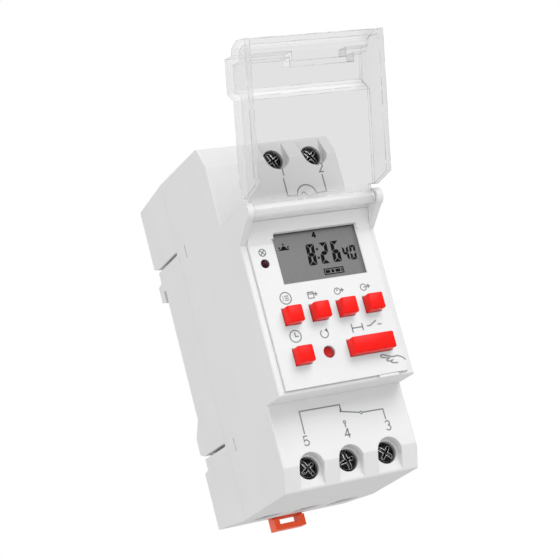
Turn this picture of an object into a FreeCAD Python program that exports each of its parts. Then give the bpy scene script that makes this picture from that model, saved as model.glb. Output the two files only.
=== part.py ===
"""Two-module DIN rail timer with a hinged clear cover, built piece by piece.

Lengths are millimetres. X runs across the case, Z up its height and -Y towards
the person who reads the display. Depths are measured from the rear plane of the
case towards the front. The origin lies on the floor of the rail groove, midway
up the 45 mm front block. The cover is drawn open, which is its rest position.
"""
import FreeCAD, Part
import math
import os
import re
import Sketcher

SIZES = {
    # case outline, seen from the side
    "shell_width": 36.0,
    "end_reach": 43.4,
    "split_swell": 0.9,
    "back_taper": 1.1,
    "groove_depth": 4.0,
    "split_depth": 17.9,
    "shoulder_depth": 46.6,
    "end_chamfer": 2.9,
    "shoulder_inset": 5.7,
    "block_reach": 22.5,
    "block_height": 7.9,
    "case_rounding": 0.5,
    # rail groove and the notches beside it
    "rail_slot": 1.3,
    "hook_lip": 17.0,
    "hook_lead": 0.8,
    "slot_reach": 3.0,
    "seat_relief": 0.1,
    "rail_bottom": 15.1,
    "ramp_length": 4.2,
    "ramp_flat": 4.2,
    "notch_offset": 2.0,
    "notch_width": 5.0,
    "notch_depth": 2.5,
    "notch_lean": 0.9,
    "slit_width": 0.8,
    "slit_margin": 1.0,
    "mark_offset": 4.8,
    "mark_width": 0.45,
    "mark_length": 3.4,
    # walls and inner spaces
    "wall": 1.65,
    "back_wall": 2.0,
    "roof": 1.6,
    "end_wall": 1.5,
    "side_wall": 3.15,
    "partition": 1.6,
    "chamber_wall": 1.8,
    "chamber_length": 8.8,
    "chamber_step": 0.8,
    # terminals
    "upper_shift": 1.6,
    "screw_inset": 3.6,
    "screw_radius": 2.0,
    "tip_gap": 1.0,
    "head_radius": 2.55,
    "head_height": 2.5,
    "head_sink": 2.6,
    "head_gap": 0.2,
    "seat_thickness": 3.0,
    "shank_gap": 0.08,
    "cross_width": 0.75,
    "cross_depth": 1.1,
    "recess_half": 3.25,
    "recess_depth": 2.6,
    "bar_thickness": 1.3,
    "bar_overlap": 3.2,
    "bar_margin": 0.6,
    "bar_gap": 0.25,
    "clamp_wall": 0.8,
    "clamp_gap": 0.3,
    "clamp_drop": 0.7,
    "clamp_plate": 1.2,
    "nut_thickness": 3.0,
    "nut_lift": 0.8,
    "wire_margin": 0.1,
    "wire_step": 0.6,
    "wire_notch": 0.6,
    # front panel and what it carries
    "rim_low": 0.9,
    "panel_rise": 0.7,
    "panel_thickness": 2.0,
    "panel_gap": 0.05,
    "slope_length": 5.4,
    "slope_rise": 2.2,
    "window_left": 9.65,
    "window_right": 12.6,
    "window_drop": 3.07,
    "window_height": 12.48,
    "window_bevel": 0.2,
    "window_lip": 0.3,
    "glass_margin": 0.8,
    "glass_thickness": 2.0,
    "frame_wall": 0.75,
    "frame_gap": 0.15,
    "zebra_height": 1.8,
    "stop_left": 8.4,
    "stop_right": 13.7,
    "stop_height": 0.6,
    "stop_inset": 0.2,
    "lamp_rise": 5.6,
    "lamp_radius": 1.0,
    "lamp_spacing": 0.85,
    "lamp_proud": 0.5,
    "lamp_tip_height": 0.6,
    "lamp_tip_radius": 0.5,
    "lamp_gap": 0.1,
    # keys
    "key_left": 12.1,
    "key_pitch": 7.2,
    "key_size": 4.05,
    "key_drop": 5.85,
    "key_foot": 5.55,
    "key_proud": 2.9,
    "key_corner": 0.35,
    "key_bevel": 0.2,
    "key_gap": 0.15,
    "key_flange": 0.6,
    "key_travel": 0.8,
    "key_spare": 0.1,
    "flange_thickness": 0.85,
    "flange_gap": 0.05,
    "stem_half": 0.9,
    "reset_radius": 1.35,
    "reset_sunk": 0.6,
    "switch_size": 4.6,
    "switch_height": 2.0,
    "switch_gap": 0.25,
    # boards
    "board_thickness": 1.2,
    "board_edge_gap": 0.6,
    "board_margin": 1.0,
    "board_gap": 0.1,
    "board_play": 0.3,
    "main_thickness": 1.6,
    "post_half": 1.5,
    "post_inset": 2.2,
    "post_gap": 0.25,
    "stud_radius": 0.6,
    "stud_head": 1.1,
    "support_half": 2.0,
    "support_inset": 3.85,
    "support_margin": 8.0,
    "ribbon_thickness": 1.0,
    "ribbon_width": 10.2,
    "ribbon_gap": 1.8,
    "ribbon_low": 12.0,
    # relay
    "relay_width": 13.0,
    "relay_length": 28.0,
    "relay_height": 22.0,
    "relay_wall": 1.0,
    "relay_gap": 0.15,
    "relay_side_gap": 0.95,
    "relay_base_height": 2.5,
    "lid_gap": 1.85,
    "coil_gap": 0.8,
    "coil_yoke_gap": 2.7,
    "coil_play": 0.05,
    "core_radius": 1.8,
    "pole_radius": 3.0,
    "pole_thickness": 1.0,
    "yoke_gap": 1.3,
    "yoke_thickness": 1.6,
    "yoke_inset": 0.65,
    "yoke_foot": 2.0,
    "armature_gap": 0.9,
    "armature_thickness": 1.4,
    "armature_overlap": 1.7,
    "blade_half": 2.5,
    "blade_thickness": 0.4,
    "blade_overlap": 1.4,
    "contact_inset": 3.65,
    "contact_radius": 1.7,
    "contact_height": 0.5,
    "contact_gap": 1.5,
    "contact_play": 0.05,
    "contact_strip": 0.8,
    "contact_spacing": 0.5,
    # other components
    "cell_radius": 5.0,
    "cell_length": 15.0,
    "cell_gap": 1.2,
    "cell_low": 7.0,
    "film_width": 9.0,
    "film_length": 17.0,
    "film_height": 15.0,
    "film_side_gap": 1.95,
    "film_gap": 2.3,
    "storage_radius": 4.0,
    "storage_height": 12.0,
    "storage_side_gap": 2.95,
    "storage_low": 1.0,
    # cover and hinge
    "hinge_rise": 6.7,
    "hinge_inset": 2.1,
    "hinge_wall": 3.3,
    "hinge_wall_height": 3.9,
    "ear_radius": 2.1,
    "ear_slope": 5.8,
    "ear_clearance": 0.9,
    "barrel_radius": 1.5,
    "barrel_gap": 0.25,
    "barrel_web": 0.8,
    "pin_radius": 0.95,
    "pin_gap": 0.05,
    "pin_short": 0.1,
    "pin_skin": 0.5,
    "cover_open": 155.0,
    "cover_wall": 1.3,
    "cover_offset": 1.6,
    "cover_rest_gap": 0.15,
    "toe_gap": 1.9,
    "toe_drop": 3.8,
    "toe_slope": 2.3,
    "toe_length": 4.0,
    "bulge_rise": 3.2,
    "bulge_lean": 0.8,
    "bulge_width": 8.1,
    "bulge_ramp": 1.5,
    "grip_left": 2.5,
    "grip_right": 12.0,
    "grip_depth": 1.5,
    # rail clip
    "clip_half": 4.3,
    "clip_gap": 0.2,
    "clip_back": 0.4,
    "clip_front": 2.9,
    "clip_rib": 1.0,
    "clip_rib_depth": 1.7,
    "clip_bite": 1.2,
    "clip_nose": 2.4,
    "clip_bevel": 0.9,
    "foot_gap": 0.7,
    "foot_length": 2.9,
    "foot_lip": 1.1,
    "foot_bar": 1.4,
    "foot_slot_half": 2.8,
    "spring_arm": 0.9,
    "spring_half": 2.5,
    "spring_start": 4.7,
    "spring_length": 12.0,
    "spring_tip_gap": 2.0,
}

# sizes that follow from others; reaches are heights from the middle, depths are from the rear
TIES = {
    "half_width": "shell_width / 2",
    "opening_half": "half_width - wall",
    "split_reach": "end_reach + split_swell",
    "back_reach": "split_reach - back_taper",
    "edge_depth": "shoulder_depth - end_chamfer",
    "shoulder_reach": "end_reach - shoulder_inset",
    "ledge_depth": "shoulder_depth + block_height",
    "hook_mouth": "hook_lip + hook_lead",
    "rail_top": "hook_lip + slot_reach",
    "ramp_bottom": "rail_bottom + ramp_length",
    "upper_notch": "rail_top + notch_offset",
    "lower_notch": "ramp_bottom + ramp_flat",
    "slit_end": "split_depth - slit_margin",
    "mark_depth": "split_depth + mark_offset",
    "floor_depth": "groove_depth + back_wall",
    "chamber_reach": "end_reach - end_wall",
    "chamber_start": "chamber_reach - chamber_length",
    "cavity_reach": "chamber_start - partition",
    "chamber_floor": "floor_depth + chamber_step",
    "chamber_width": "(shell_width - 2 * side_wall - 2 * chamber_wall) / 3",
    "chamber_half": "chamber_width / 2",
    "terminal_pitch": "chamber_width + chamber_wall",
    "screw_reach": "chamber_reach - screw_inset",
    "recess_floor": "shoulder_depth - recess_depth",
    "head_seat": "recess_floor - head_sink",
    "head_top": "head_seat + head_height",
    "chamber_roof": "head_seat - seat_thickness",
    "bar_front": "split_depth + bar_thickness",
    "screw_tip": "bar_front + tip_gap",
    "clamp_half": "chamber_half - clamp_gap",
    "clamp_inner": "clamp_half - clamp_wall",
    "clamp_reach": "screw_inset - clamp_gap",
    "clamp_floor": "chamber_floor + clamp_drop",
    "clamp_front": "bar_front + nut_lift + nut_thickness",
    "bar_half": "clamp_inner - bar_gap",
    "wire_half": "bar_half - wire_margin",
    "wire_floor": "clamp_floor + clamp_plate + wire_step",
    "panel_depth": "ledge_depth + panel_rise",
    "panel_back": "panel_depth - panel_thickness",
    "opening_low": "block_reach - rim_low",
    "hinge_wall_low": "block_reach - hinge_wall",
    "hinge_wall_depth": "ledge_depth + hinge_wall_height",
    "slope_start": "hinge_wall_low - slope_length",
    "window_high": "hinge_wall_low - window_drop",
    "window_low": "window_high - window_height",
    "glass_front": "panel_depth - window_lip",
    "glass_back": "glass_front - glass_thickness",
    "lamp_left": "window_left + glass_margin + frame_gap + frame_wall + lamp_radius + lamp_spacing",
    "lamp_height": "window_low + lamp_rise",
    "lamp_tip": "panel_depth + lamp_proud",
    "upper_keys": "key_drop - window_low",
    "lower_keys": "opening_low - key_foot - key_size",
    "flange_front": "panel_back - flange_gap",
    "flange_back": "flange_front - flange_thickness",
    "switch_top": "flange_back - key_travel - key_spare",
    "board_front": "switch_top - switch_height",
    "board_back": "board_front - board_thickness",
    "stem_end": "board_front + key_travel + 2 * key_spare",
    "board_half": "opening_half - board_edge_gap",
    "board_low": "opening_low - board_margin",
    "post_side": "board_half - post_inset",
    "post_drop": "lower_keys + key_size + key_flange + post_half + post_gap",
    "relay_centre": "opening_half - relay_side_gap - relay_width / 2",
    "relay_inner": "relay_width / 2 - relay_wall",
    "relay_reach": "relay_length / 2 - relay_wall - relay_gap",
    "coil_radius": "relay_inner - coil_gap",
    "yoke_half": "relay_inner - yoke_gap",
    "yoke_offset": "relay_reach - yoke_inset",
    "coil_offset": "yoke_offset - yoke_thickness - coil_yoke_gap - coil_radius",
    "yoke_sole": "relay_base_height + yoke_thickness",
    "blade_stack": "armature_thickness + blade_thickness + contact_height + contact_play + contact_strip",
    "pole_top": "relay_height - relay_wall - lid_gap - blade_stack - armature_gap",
    "coil_top": "pole_top - pole_thickness",
    "armature_low": "pole_top + armature_gap",
    "armature_high": "armature_low + armature_thickness",
    "blade_high": "armature_high + blade_thickness",
    "button_low": "armature_high - contact_height",
    "button_high": "blade_high + contact_height",
    "contact_offset": "relay_reach - contact_inset",
    "open_high": "button_low - contact_gap",
    "closed_low": "button_high + contact_play",
    "strip_reach": "contact_offset + contact_radius + 0.3",
    "hinge_depth": "ledge_depth + hinge_rise",
    "hinge_height": "block_reach - hinge_inset",
    "ear_foot": "hinge_height - ear_slope",
    "barrel_half": "opening_half - barrel_gap",
    "cover_depth": "hinge_depth + cover_offset",
    "bulge_depth": "cover_depth + bulge_rise",
    "step_depth": "cover_depth - 0.5",
    "toe_depth": "cover_depth - toe_drop",
    "cover_rim": "ledge_depth + cover_rest_gap",
    "toe_end": "opening_low - toe_gap",
    "toe_start": "toe_end - toe_slope",
    "bulge_end": "toe_end - toe_length",
    "bulge_turn": "bulge_end - bulge_lean",
    "bulge_full": "bulge_turn - bulge_width",
    "bulge_start": "bulge_full - bulge_ramp",
    "channel_depth": "clip_front + clip_gap",
    "clip_tip": "rail_bottom - clip_bite",
    "foot_start": "back_reach + foot_gap",
    "foot_end": "foot_start + foot_length",
    "foot_front": "clip_front + foot_lip",
    "spring_top": "ramp_bottom + spring_start",
    "spring_end": "spring_top + spring_length",
}

# key names from left to right; a name written twice spans two columns
KEY_ROWS = {"upper_keys": ["program", "day", "hour", "minute"],
            "lower_keys": ["clock", "reset", "manual", "manual"]}

# terminal number, side of the case and centre
TERMINALS = [("1", "upper", "upper_shift"), ("2", "upper", "upper_shift + terminal_pitch"),
             ("3", "lower", "terminal_pitch"), ("4", "lower", "0"), ("5", "lower", "-(terminal_pitch)")]

DOC = FreeCAD.newDocument("rail_timer")
NODES = []


def make_sheet():
    sheet = DOC.addObject("Spreadsheet::Sheet", "Sizes")
    for row, (name, number) in enumerate(SIZES.items(), 1):
        sheet.set("A%d" % row, name)
        sheet.set("B%d" % row, str(number))
        sheet.setAlias("B%d" % row, name)
    DOC.recompute()
    return sheet


def words(text):
    """Write a formula in terms of the sheet's cells."""
    def cell(found):
        name = found.group()
        if name in TIES:
            return "(%s)" % words(TIES[name])
        return "Sizes." + name if name in SIZES else name
    return re.sub(r"[a-z_]+", cell, str(text))


def bind(item, place, text):
    item.setExpression(place, words(text))


def value(text):
    """Present value of a formula."""
    return float(SHEET.evalExpression(words(text)))


def at(depth):
    """Y coordinate of a depth from the rear plane."""
    return "groove_depth - (%s)" % depth


def depths(low, high):
    """Y extent of two depths, rear one first."""
    return at(high), at(low)


def around(centre, half):
    return "%s - (%s)" % (centre, half), "%s + (%s)" % (centre, half)


def both_sides(half):
    return "-(%s)" % half, half


def height(side, reach):
    """Z of a distance from the middle, above or below it."""
    return reach if side == "upper" else "-(%s)" % reach


def heights(side, near, far):
    return (near, far) if side == "upper" else (height(side, far), height(side, near))


def box(name, x, y, z):
    item = DOC.addObject("Part::Box", name)
    for size, axis, (low, high) in zip(("Length", "Width", "Height"), "xyz", (x, y, z)):
        bind(item, size, "(%s) - (%s)" % (high, low))
        bind(item, "Placement.Base." + axis, low)
    return item


def rod(name, axis, centre, radius, low, high):
    """Cylinder along an axis; centre gives the two other coordinates in XYZ order."""
    item = DOC.addObject("Part::Cylinder", name)
    turns = {"x": (FreeCAD.Vector(0, 1, 0), 90), "y": (FreeCAD.Vector(1, 0, 0), -90),
             "z": (FreeCAD.Vector(0, 0, 1), 0)}
    item.Placement.Rotation = FreeCAD.Rotation(*turns[axis])
    bind(item, "Radius", radius)
    bind(item, "Height", "(%s) - (%s)" % (high, low))
    bind(item, "Placement.Base." + axis, low)
    for other, text in zip([letter for letter in "xyz" if letter != axis], centre):
        bind(item, "Placement.Base." + other, text)
    return item


def join(name, *parts):
    item = DOC.addObject("Part::MultiFuse", name)
    item.Shapes = list(parts)
    item.Refine = True
    return item


def remove(name, base, *tools):
    item = DOC.addObject("Part::Cut", name)
    item.Base = base
    item.Tool = tools[0] if len(tools) == 1 else join(name + "_tools", *tools)
    item.Refine = True
    return item


def outline(body, name, role, points, offset=None):
    """Closed sketch through points that are pairs of formulas."""
    sketch = body.newObject("Sketcher::SketchObject", name)
    plane = [feature for feature in body.Origin.OriginFeatures if feature.Role == role][0]
    sketch.AttachmentSupport = (plane, "")
    sketch.MapMode = "FlatFace"
    count = len(points)
    turns = [2 * math.pi * index / count for index in range(count)]
    ring = [FreeCAD.Vector(math.cos(turn), math.sin(turn), 0) for turn in turns]
    for index in range(count):
        sketch.addGeometry(Part.LineSegment(ring[index], ring[(index + 1) % count]), False)
    for index in range(count):
        sketch.addConstraint(Sketcher.Constraint("Coincident", index, 2, (index + 1) % count, 1))
    for index, formulas in enumerate(points):
        for kind, start, text in zip(("DistanceX", "DistanceY"), ring[index], formulas):
            number = sketch.addConstraint(Sketcher.Constraint(kind, -1, 1, index, 1, start))
            bind(sketch, "Constraints[%d]" % number, text)
    if offset:
        bind(sketch, "AttachmentOffset.Base.z", offset)
    return sketch


def extruded(name, role, points, length, offset=None):
    """Body whose pad lies symmetrically about its sketch, or starts at an offset."""
    body = DOC.addObject("PartDesign::Body", name)
    sketch = outline(body, name + "_outline", role, points, offset)
    pad = body.newObject("PartDesign::Pad", name + "_pad")
    pad.Profile = sketch
    bind(pad, "Length", length)
    if offset is None:
        pad.SideType = "Symmetric"
    return body


def side_profile(name, corners, length, offset=None):
    """Body extruded across the width from corners given as depth and height."""
    return extruded(name, "YZ_Plane", [(at(depth), level) for depth, level in corners], length, offset)


def dress(body, kind, size, wanted):
    """Fillet or chamfer the edges of a body's last feature that a test picks."""
    DOC.recompute()
    last = body.Tip
    names = ["Edge%d" % number for number, edge in enumerate(last.Shape.Edges, 1) if wanted(edge)]
    feature = body.newObject("PartDesign::" + kind, "%s_%s" % (body.Name, size))
    feature.Base = (last, names)
    bind(feature, {"Fillet": "Radius", "Chamfer": "Size"}[kind], size)


def node(item, name):
    item.Label = name
    NODES.append(item)


def extent(edge, axis):
    limits = edge.BoundBox
    return {"x": (limits.XMin, limits.XMax), "y": (limits.YMin, limits.YMax),
            "z": (limits.ZMin, limits.ZMax)}[axis]


def straight_along(edge, axis):
    spans = {key: extent(edge, key)[1] - extent(edge, key)[0] for key in "xyz"}
    return spans[axis] > 0.001 and all(spans[key] < 0.001 for key in "xyz" if key != axis)


def near(number, *places):
    return any(abs(number - place) < 0.001 for place in places)


def per_terminal(name, maker):
    return [maker("%s_%s" % (name, number), side, x) for number, side, x in TERMINALS]


def screw_place(side, x):
    return x, height(side, "screw_reach")


def chamber(low, high):
    def make(name, side, x):
        return box(name, around(x, "chamber_half"), depths(low, high),
                   heights(side, "chamber_start", "chamber_reach"))
    return make


def base_corners():
    """Rear half from the side: rail hook, groove, ramp and the two side notches."""
    slot_back = "groove_depth - rail_slot"
    slot_front = "groove_depth + seat_relief"
    return [
        ("0", "-(back_reach)"), ("split_depth", "-(split_reach)"),
        ("split_depth", "split_reach"), ("0", "back_reach"),
        ("0", "upper_notch + notch_width"),
        ("notch_depth", "upper_notch + notch_width - notch_lean"),
        ("notch_depth", "upper_notch + notch_lean / 2"), ("0", "upper_notch"),
        ("0", "hook_mouth"), (slot_back, "hook_lip"), (slot_back, "rail_top"),
        (slot_front, "rail_top"), (slot_front, "hook_lip"),
        ("groove_depth", "hook_lip"), ("groove_depth", "-(rail_bottom)"),
        ("0", "-(ramp_bottom)"), ("0", "-(lower_notch)"),
        ("notch_depth", "-(lower_notch + notch_lean)"),
        ("notch_depth", "-(lower_notch + notch_width - notch_lean / 2)"),
        ("0", "-(lower_notch + notch_width)")]


def side_cuts(name, inset, depth_span, side, span):
    """The same cut in the left and the right wall, as deep as an inset."""
    z = heights(side, *span)
    return [box(name + "_left", ("-(half_width) - 0.1", "-(half_width) + %s" % inset), depth_span, z),
            box(name + "_right", ("half_width - %s" % inset, "half_width + 0.1"), depth_span, z)]


def side_slits():
    """Saw cuts that free the latch tongues in both side walls."""
    upper = "upper_notch + notch_width - notch_lean"
    lower = "lower_notch + notch_lean"
    span = depths("notch_depth", "slit_end")
    return (side_cuts("upper_slit", "wall", span, "upper", (upper + " - slit_width", upper))
            + side_cuts("lower_slit", "wall", span, "lower", (lower, lower + " + slit_width")))


def clip_channel():
    """Stepped channel for the clip, and the relief in the seat below its tip."""
    z = ("-(back_reach + 2)", "-(rail_bottom - 1)")
    slim = both_sides("clip_half + clip_gap")
    return [box("channel_wide", both_sides("clip_half + clip_rib + clip_gap"),
                depths("clip_rib_depth - clip_gap", "channel_depth"), z),
            box("channel_slim", slim, depths("-1", "channel_depth"), z),
            box("tip_relief", slim, depths("-1", "groove_depth + seat_relief"),
                ("-(rail_bottom + 0.1)", "-(clip_tip - clip_gap)"))]


def wire_entry(name, side, x):
    """Round-bottomed opening in the end wall, open to the joint of the case."""
    span = heights(side, "chamber_reach - 0.5", "split_reach + 1")
    centre = "wire_floor + wire_half"
    hole = rod(name + "_round", "z", (x, at(centre)), "wire_half", *span)
    slot = box(name + "_slot", around(x, "wire_half"), depths(centre, "split_depth + 1"), span)
    return join(name, hole, slot)


def board_supports():
    side = "opening_half - support_inset"
    reach = "cavity_reach - support_margin"
    return [box("support_%d" % number, around(x, "support_half"),
                depths("floor_depth - 0.5", "split_depth - main_thickness"), around(z, "support_half"))
            for number, (x, z) in enumerate(
                [(x, z) for x in both_sides(side) for z in both_sides(reach)], 1)]


def make_housing_base():
    shell = side_profile("base_shell", base_corners(), "shell_width")
    rear, reach = value("groove_depth"), value("back_reach")
    dress(shell, "Fillet", "case_rounding",
          lambda edge: straight_along(edge, "x") and near(extent(edge, "y")[0], rear)
          and near(extent(edge, "z")[0], reach, -reach))
    cavity = box("base_cavity", both_sides("opening_half"),
                 depths("floor_depth", "split_depth + 1"), both_sides("cavity_reach"))
    tools = [cavity] + per_terminal("base_chamber", chamber("chamber_floor", "split_depth + 1"))
    tools += per_terminal("wire_entry", wire_entry) + side_slits() + clip_channel()
    hollow = remove("base_hollow", shell, *tools)
    node(join("base_with_supports", hollow, *board_supports()), "housing_base")


def front_corners():
    return [("split_depth", "-(split_reach)"), ("edge_depth", "-(end_reach)"),
            ("shoulder_depth", "-(shoulder_reach)"), ("shoulder_depth", "-(block_reach)"),
            ("ledge_depth", "-(block_reach)"), ("ledge_depth", "hinge_wall_low"),
            ("hinge_wall_depth", "hinge_wall_low"), ("hinge_wall_depth", "block_reach"),
            ("shoulder_depth", "block_reach"), ("shoulder_depth", "shoulder_reach"),
            ("edge_depth", "end_reach"), ("split_depth", "split_reach")]


def ear(side, low, high):
    """Hinge ear: a leaning front edge that runs into a round top about the pin."""
    lean = "(hinge_height - ear_radius - ear_foot) / (hinge_depth - ledge_depth)"
    root = "ledge_depth - 2"
    corners = [(root, "ear_foot - 2 * " + lean), ("hinge_depth", "hinge_height - ear_radius"),
               ("hinge_depth", "hinge_height + ear_radius"), ("hinge_wall_depth", "block_reach"),
               (root, "block_reach")]
    plate = side_profile("ear_plate_" + side, corners, "wall", low)
    top = rod("ear_top_" + side, "x", (at("hinge_depth"), "hinge_height"), "ear_radius", low, high)
    return join("ear_" + side, plate, top)


def screw_well(name, side, x):
    """Bore for the head, clearance hole for the shank and the recess open to the end."""
    place = screw_place(side, x)
    front = "shoulder_depth + 1"
    bore = rod(name + "_bore", "y", place, "head_radius + head_gap", at(front), at("head_seat"))
    hole = rod(name + "_hole", "y", place, "screw_radius + shank_gap",
               at("head_seat + 0.1"), at("chamber_roof - 0.1"))
    arc = rod(name + "_arc", "y", place, "recess_half", at(front), at("recess_floor"))
    run = box(name + "_run", around(x, "recess_half"), depths("recess_floor", front),
              heights(side, "screw_reach", "split_reach + 1"))
    return join(name, bore, hole, arc, run)


def bar_notch(name, side, x):
    return box(name, around(x, "bar_half"), depths("split_depth - 0.1", "bar_front"),
               heights(side, "cavity_reach - 0.1", "chamber_start + 0.1"))


def front_wire_notch(name, side, x):
    return box(name, around(x, "wire_half"), depths("split_depth - 0.1", "split_depth + wire_notch"),
               heights(side, "chamber_reach - 0.5", "split_reach + 1"))


def latch_marks():
    """Shallow lines beside the latch tongues on both side faces."""
    span = depths("mark_depth", "mark_depth + mark_width")
    upper = "upper_notch + notch_width - notch_lean"
    lower = "lower_notch + notch_lean"
    return (side_cuts("upper_mark", "wall / 3", span, "upper", (upper + " - mark_length", upper))
            + side_cuts("lower_mark", "wall / 3", span, "lower", (lower, lower + " + mark_length")))


def rim_block():
    """Low block on the ledge below the panel, near its right corner."""
    return box("rim_block", ("stop_left", "stop_right"),
               depths("ledge_depth - 0.5", "ledge_depth + stop_height"),
               ("-(block_reach - stop_inset)", "-(opening_low - 0.5)"))


def front_rounded(edge):
    """End chamfers, the sides of the shoulders and the rim round the panel."""
    reaches = [sign * value(name) for name in ("end_reach", "shoulder_reach") for sign in (-1, 1)]
    level = extent(edge, "z")[0]
    shoulder, ledge = value(at("shoulder_depth")), value(at("ledge_depth"))
    front = extent(edge, "y")[0]
    if straight_along(edge, "x"):
        return near(level, *reaches) or (near(front, ledge) and level < 0)
    return straight_along(edge, "z") and (near(front, ledge) or near(front, shoulder))


def make_housing_front():
    shell = side_profile("front_shell", front_corners(), "shell_width")
    dress(shell, "Fillet", "case_rounding", front_rounded)
    solid = join("front_solid", shell, rim_block(),
                 ear("left", "-(half_width)", "-(opening_half)"),
                 ear("right", "opening_half", "half_width"))
    width = both_sides("opening_half")
    tools = [box("front_cavity", width, depths("split_depth - 1", "shoulder_depth - roof"),
                 both_sides("cavity_reach")),
             box("front_opening", width, depths("shoulder_depth - roof - 1", "hinge_wall_depth + 9"),
                 ("-(opening_low)", "hinge_wall_low")),
             rod("pin_hole", "x", (at("hinge_depth"), "hinge_height"), "pin_radius + pin_gap",
                 *both_sides("half_width - pin_skin"))]
    tools += per_terminal("front_chamber", chamber("split_depth - 1", "chamber_roof"))
    tools += per_terminal("screw_well", screw_well) + per_terminal("bar_notch", bar_notch)
    tools += per_terminal("wire_notch", front_wire_notch) + latch_marks()
    node(remove("front_hollow", solid, *tools), "housing_front")


def key_columns():
    """Each key's name, row, first column and last column."""
    return [(name, row, names.index(name), names.index(name) + names.count(name) - 1)
            for row, names in KEY_ROWS.items() for name in dict.fromkeys(names)]


def key_field(row, first, last, margin):
    """X and Z extent of a key, widened by a margin."""
    left = "%d * key_pitch - key_left" % first
    right = "%d * key_pitch - key_left + key_size" % last
    return (("%s - (%s)" % (left, margin), "%s + (%s)" % (right, margin)),
            ("-(%s + key_size + (%s))" % (row, margin), "-(%s - (%s))" % (row, margin)))


def key_centre(row, column):
    return "%d * key_pitch - key_left + key_size / 2" % column, "-(%s + key_size / 2)" % row


def glass_extent(margin):
    grown = "glass_margin + (%s)" % margin
    return (("-(window_left + %s)" % grown, "window_right + %s" % grown),
            ("window_low - (%s)" % grown, "window_high + %s" % grown))


def panel_corners():
    low, high = "-(opening_low - panel_gap)", "hinge_wall_low - panel_gap"
    return [("panel_back", low), ("panel_depth", low), ("panel_depth", "slope_start"),
            ("panel_depth + slope_rise", high), ("panel_back", high)]


def window_cut():
    """Bevelled window: a straight shaft that widens to the panel's face."""
    x = ("-(window_left)", "window_right")
    z = ("window_low", "window_high")
    shaft = box("window_shaft", x, depths("glass_front - 1", "panel_depth + 3"), z)
    bevel = DOC.addObject("Part::Wedge", "window_bevel_cut")
    for side, (low, high) in (("X", x), ("Z", z)):
        bind(bevel, side + "min", "%s - 3 * window_bevel" % low)
        bind(bevel, side + "max", "%s + 3 * window_bevel" % high)
        bind(bevel, side + "2min", low)
        bind(bevel, side + "2max", high)
    bind(bevel, "Ymin", at("panel_depth + 2 * window_bevel"))
    bind(bevel, "Ymax", at("panel_depth - window_bevel"))
    return [shaft, bevel]


def panel_hole(name, place, radius):
    return rod(name, "y", place, radius, at("panel_depth + 1"), at("panel_back - 1"))


def post_places():
    return [(x, "-(post_drop)") for x in both_sides("post_side")]


def make_front_panel():
    plate = side_profile("panel_plate", panel_corners(), "2 * (opening_half - panel_gap)")
    glass_x, glass_z = glass_extent("frame_gap")
    tools = window_cut() + [
        box("glass_pocket", glass_x, depths("panel_back - 1", "glass_front"), glass_z),
        panel_hole("lamp_hole", ("-(lamp_left)", "lamp_height"), "lamp_radius + lamp_gap")]
    for name, row, first, last in key_columns():
        x, z = key_field(row, first, last, "key_gap")
        if name == "reset":
            tools.append(panel_hole("reset_hole", key_centre(row, first), "reset_radius + key_gap"))
        else:
            tools.append(box("key_hole_" + name, x, depths("panel_back - 1", "panel_depth + 1"), z))
    holed = remove("panel_holed", plate, *tools)
    posts = []
    for number, (x, z) in enumerate(post_places(), 1):
        post = box("panel_post_%d" % number, around(x, "post_half"),
                   depths("board_front", "panel_back + 0.1"), around(z, "post_half"))
        bore = box("post_bore_%d" % number, around(x, "stud_radius"),
                   depths("board_front - 1", "panel_back - 0.5"), around(z, "stud_radius"))
        posts.append(remove("post_%d" % number, post, bore))
    node(join("panel_with_posts", holed, *posts), "front_panel")


def make_display():
    glass_x, glass_z = glass_extent("0")
    node(box("glass", glass_x, depths("glass_back", "glass_front"), glass_z), "lcd_glass")
    hole_x, hole_z = glass_extent("frame_gap")
    outer_x, outer_z = glass_extent("frame_gap + frame_wall")
    ring = box("frame_outer", outer_x, depths("board_front", "panel_back"), outer_z)
    hole = box("frame_hole", hole_x, depths("board_front - 1", "panel_back + 1"), hole_z)
    node(remove("frame_ring", ring, hole), "lcd_frame")
    strip_y = depths("board_front", "glass_back")
    low, high = glass_z
    node(box("strip_high", glass_x, strip_y, (high + " - zebra_height", high)), "zebra_upper")
    node(box("strip_low", glass_x, strip_y, (low, low + " + zebra_height")), "zebra_lower")


def make_lamp():
    place = ("-(lamp_left)", "lamp_height")
    shoulder = "lamp_tip - lamp_tip_height"
    stem = rod("lamp_stem", "y", place, "lamp_radius", at(shoulder), at("board_front"))
    tip = DOC.addObject("Part::Cone", "lamp_point")
    tip.Placement.Rotation = FreeCAD.Rotation(FreeCAD.Vector(1, 0, 0), 90)
    bind(tip, "Radius1", "lamp_radius")
    bind(tip, "Radius2", "lamp_tip_radius")
    bind(tip, "Height", "lamp_tip_height")
    for axis, text in zip("xyz", (place[0], at(shoulder), place[1])):
        bind(tip, "Placement.Base." + axis, text)
    node(join("lamp", stem, tip), "led_lamp")


def key_stem(name, place):
    x, z = (around(middle, "stem_half") for middle in place)
    return box(name, x, depths("stem_end", "flange_back + 0.1"), z)


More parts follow.
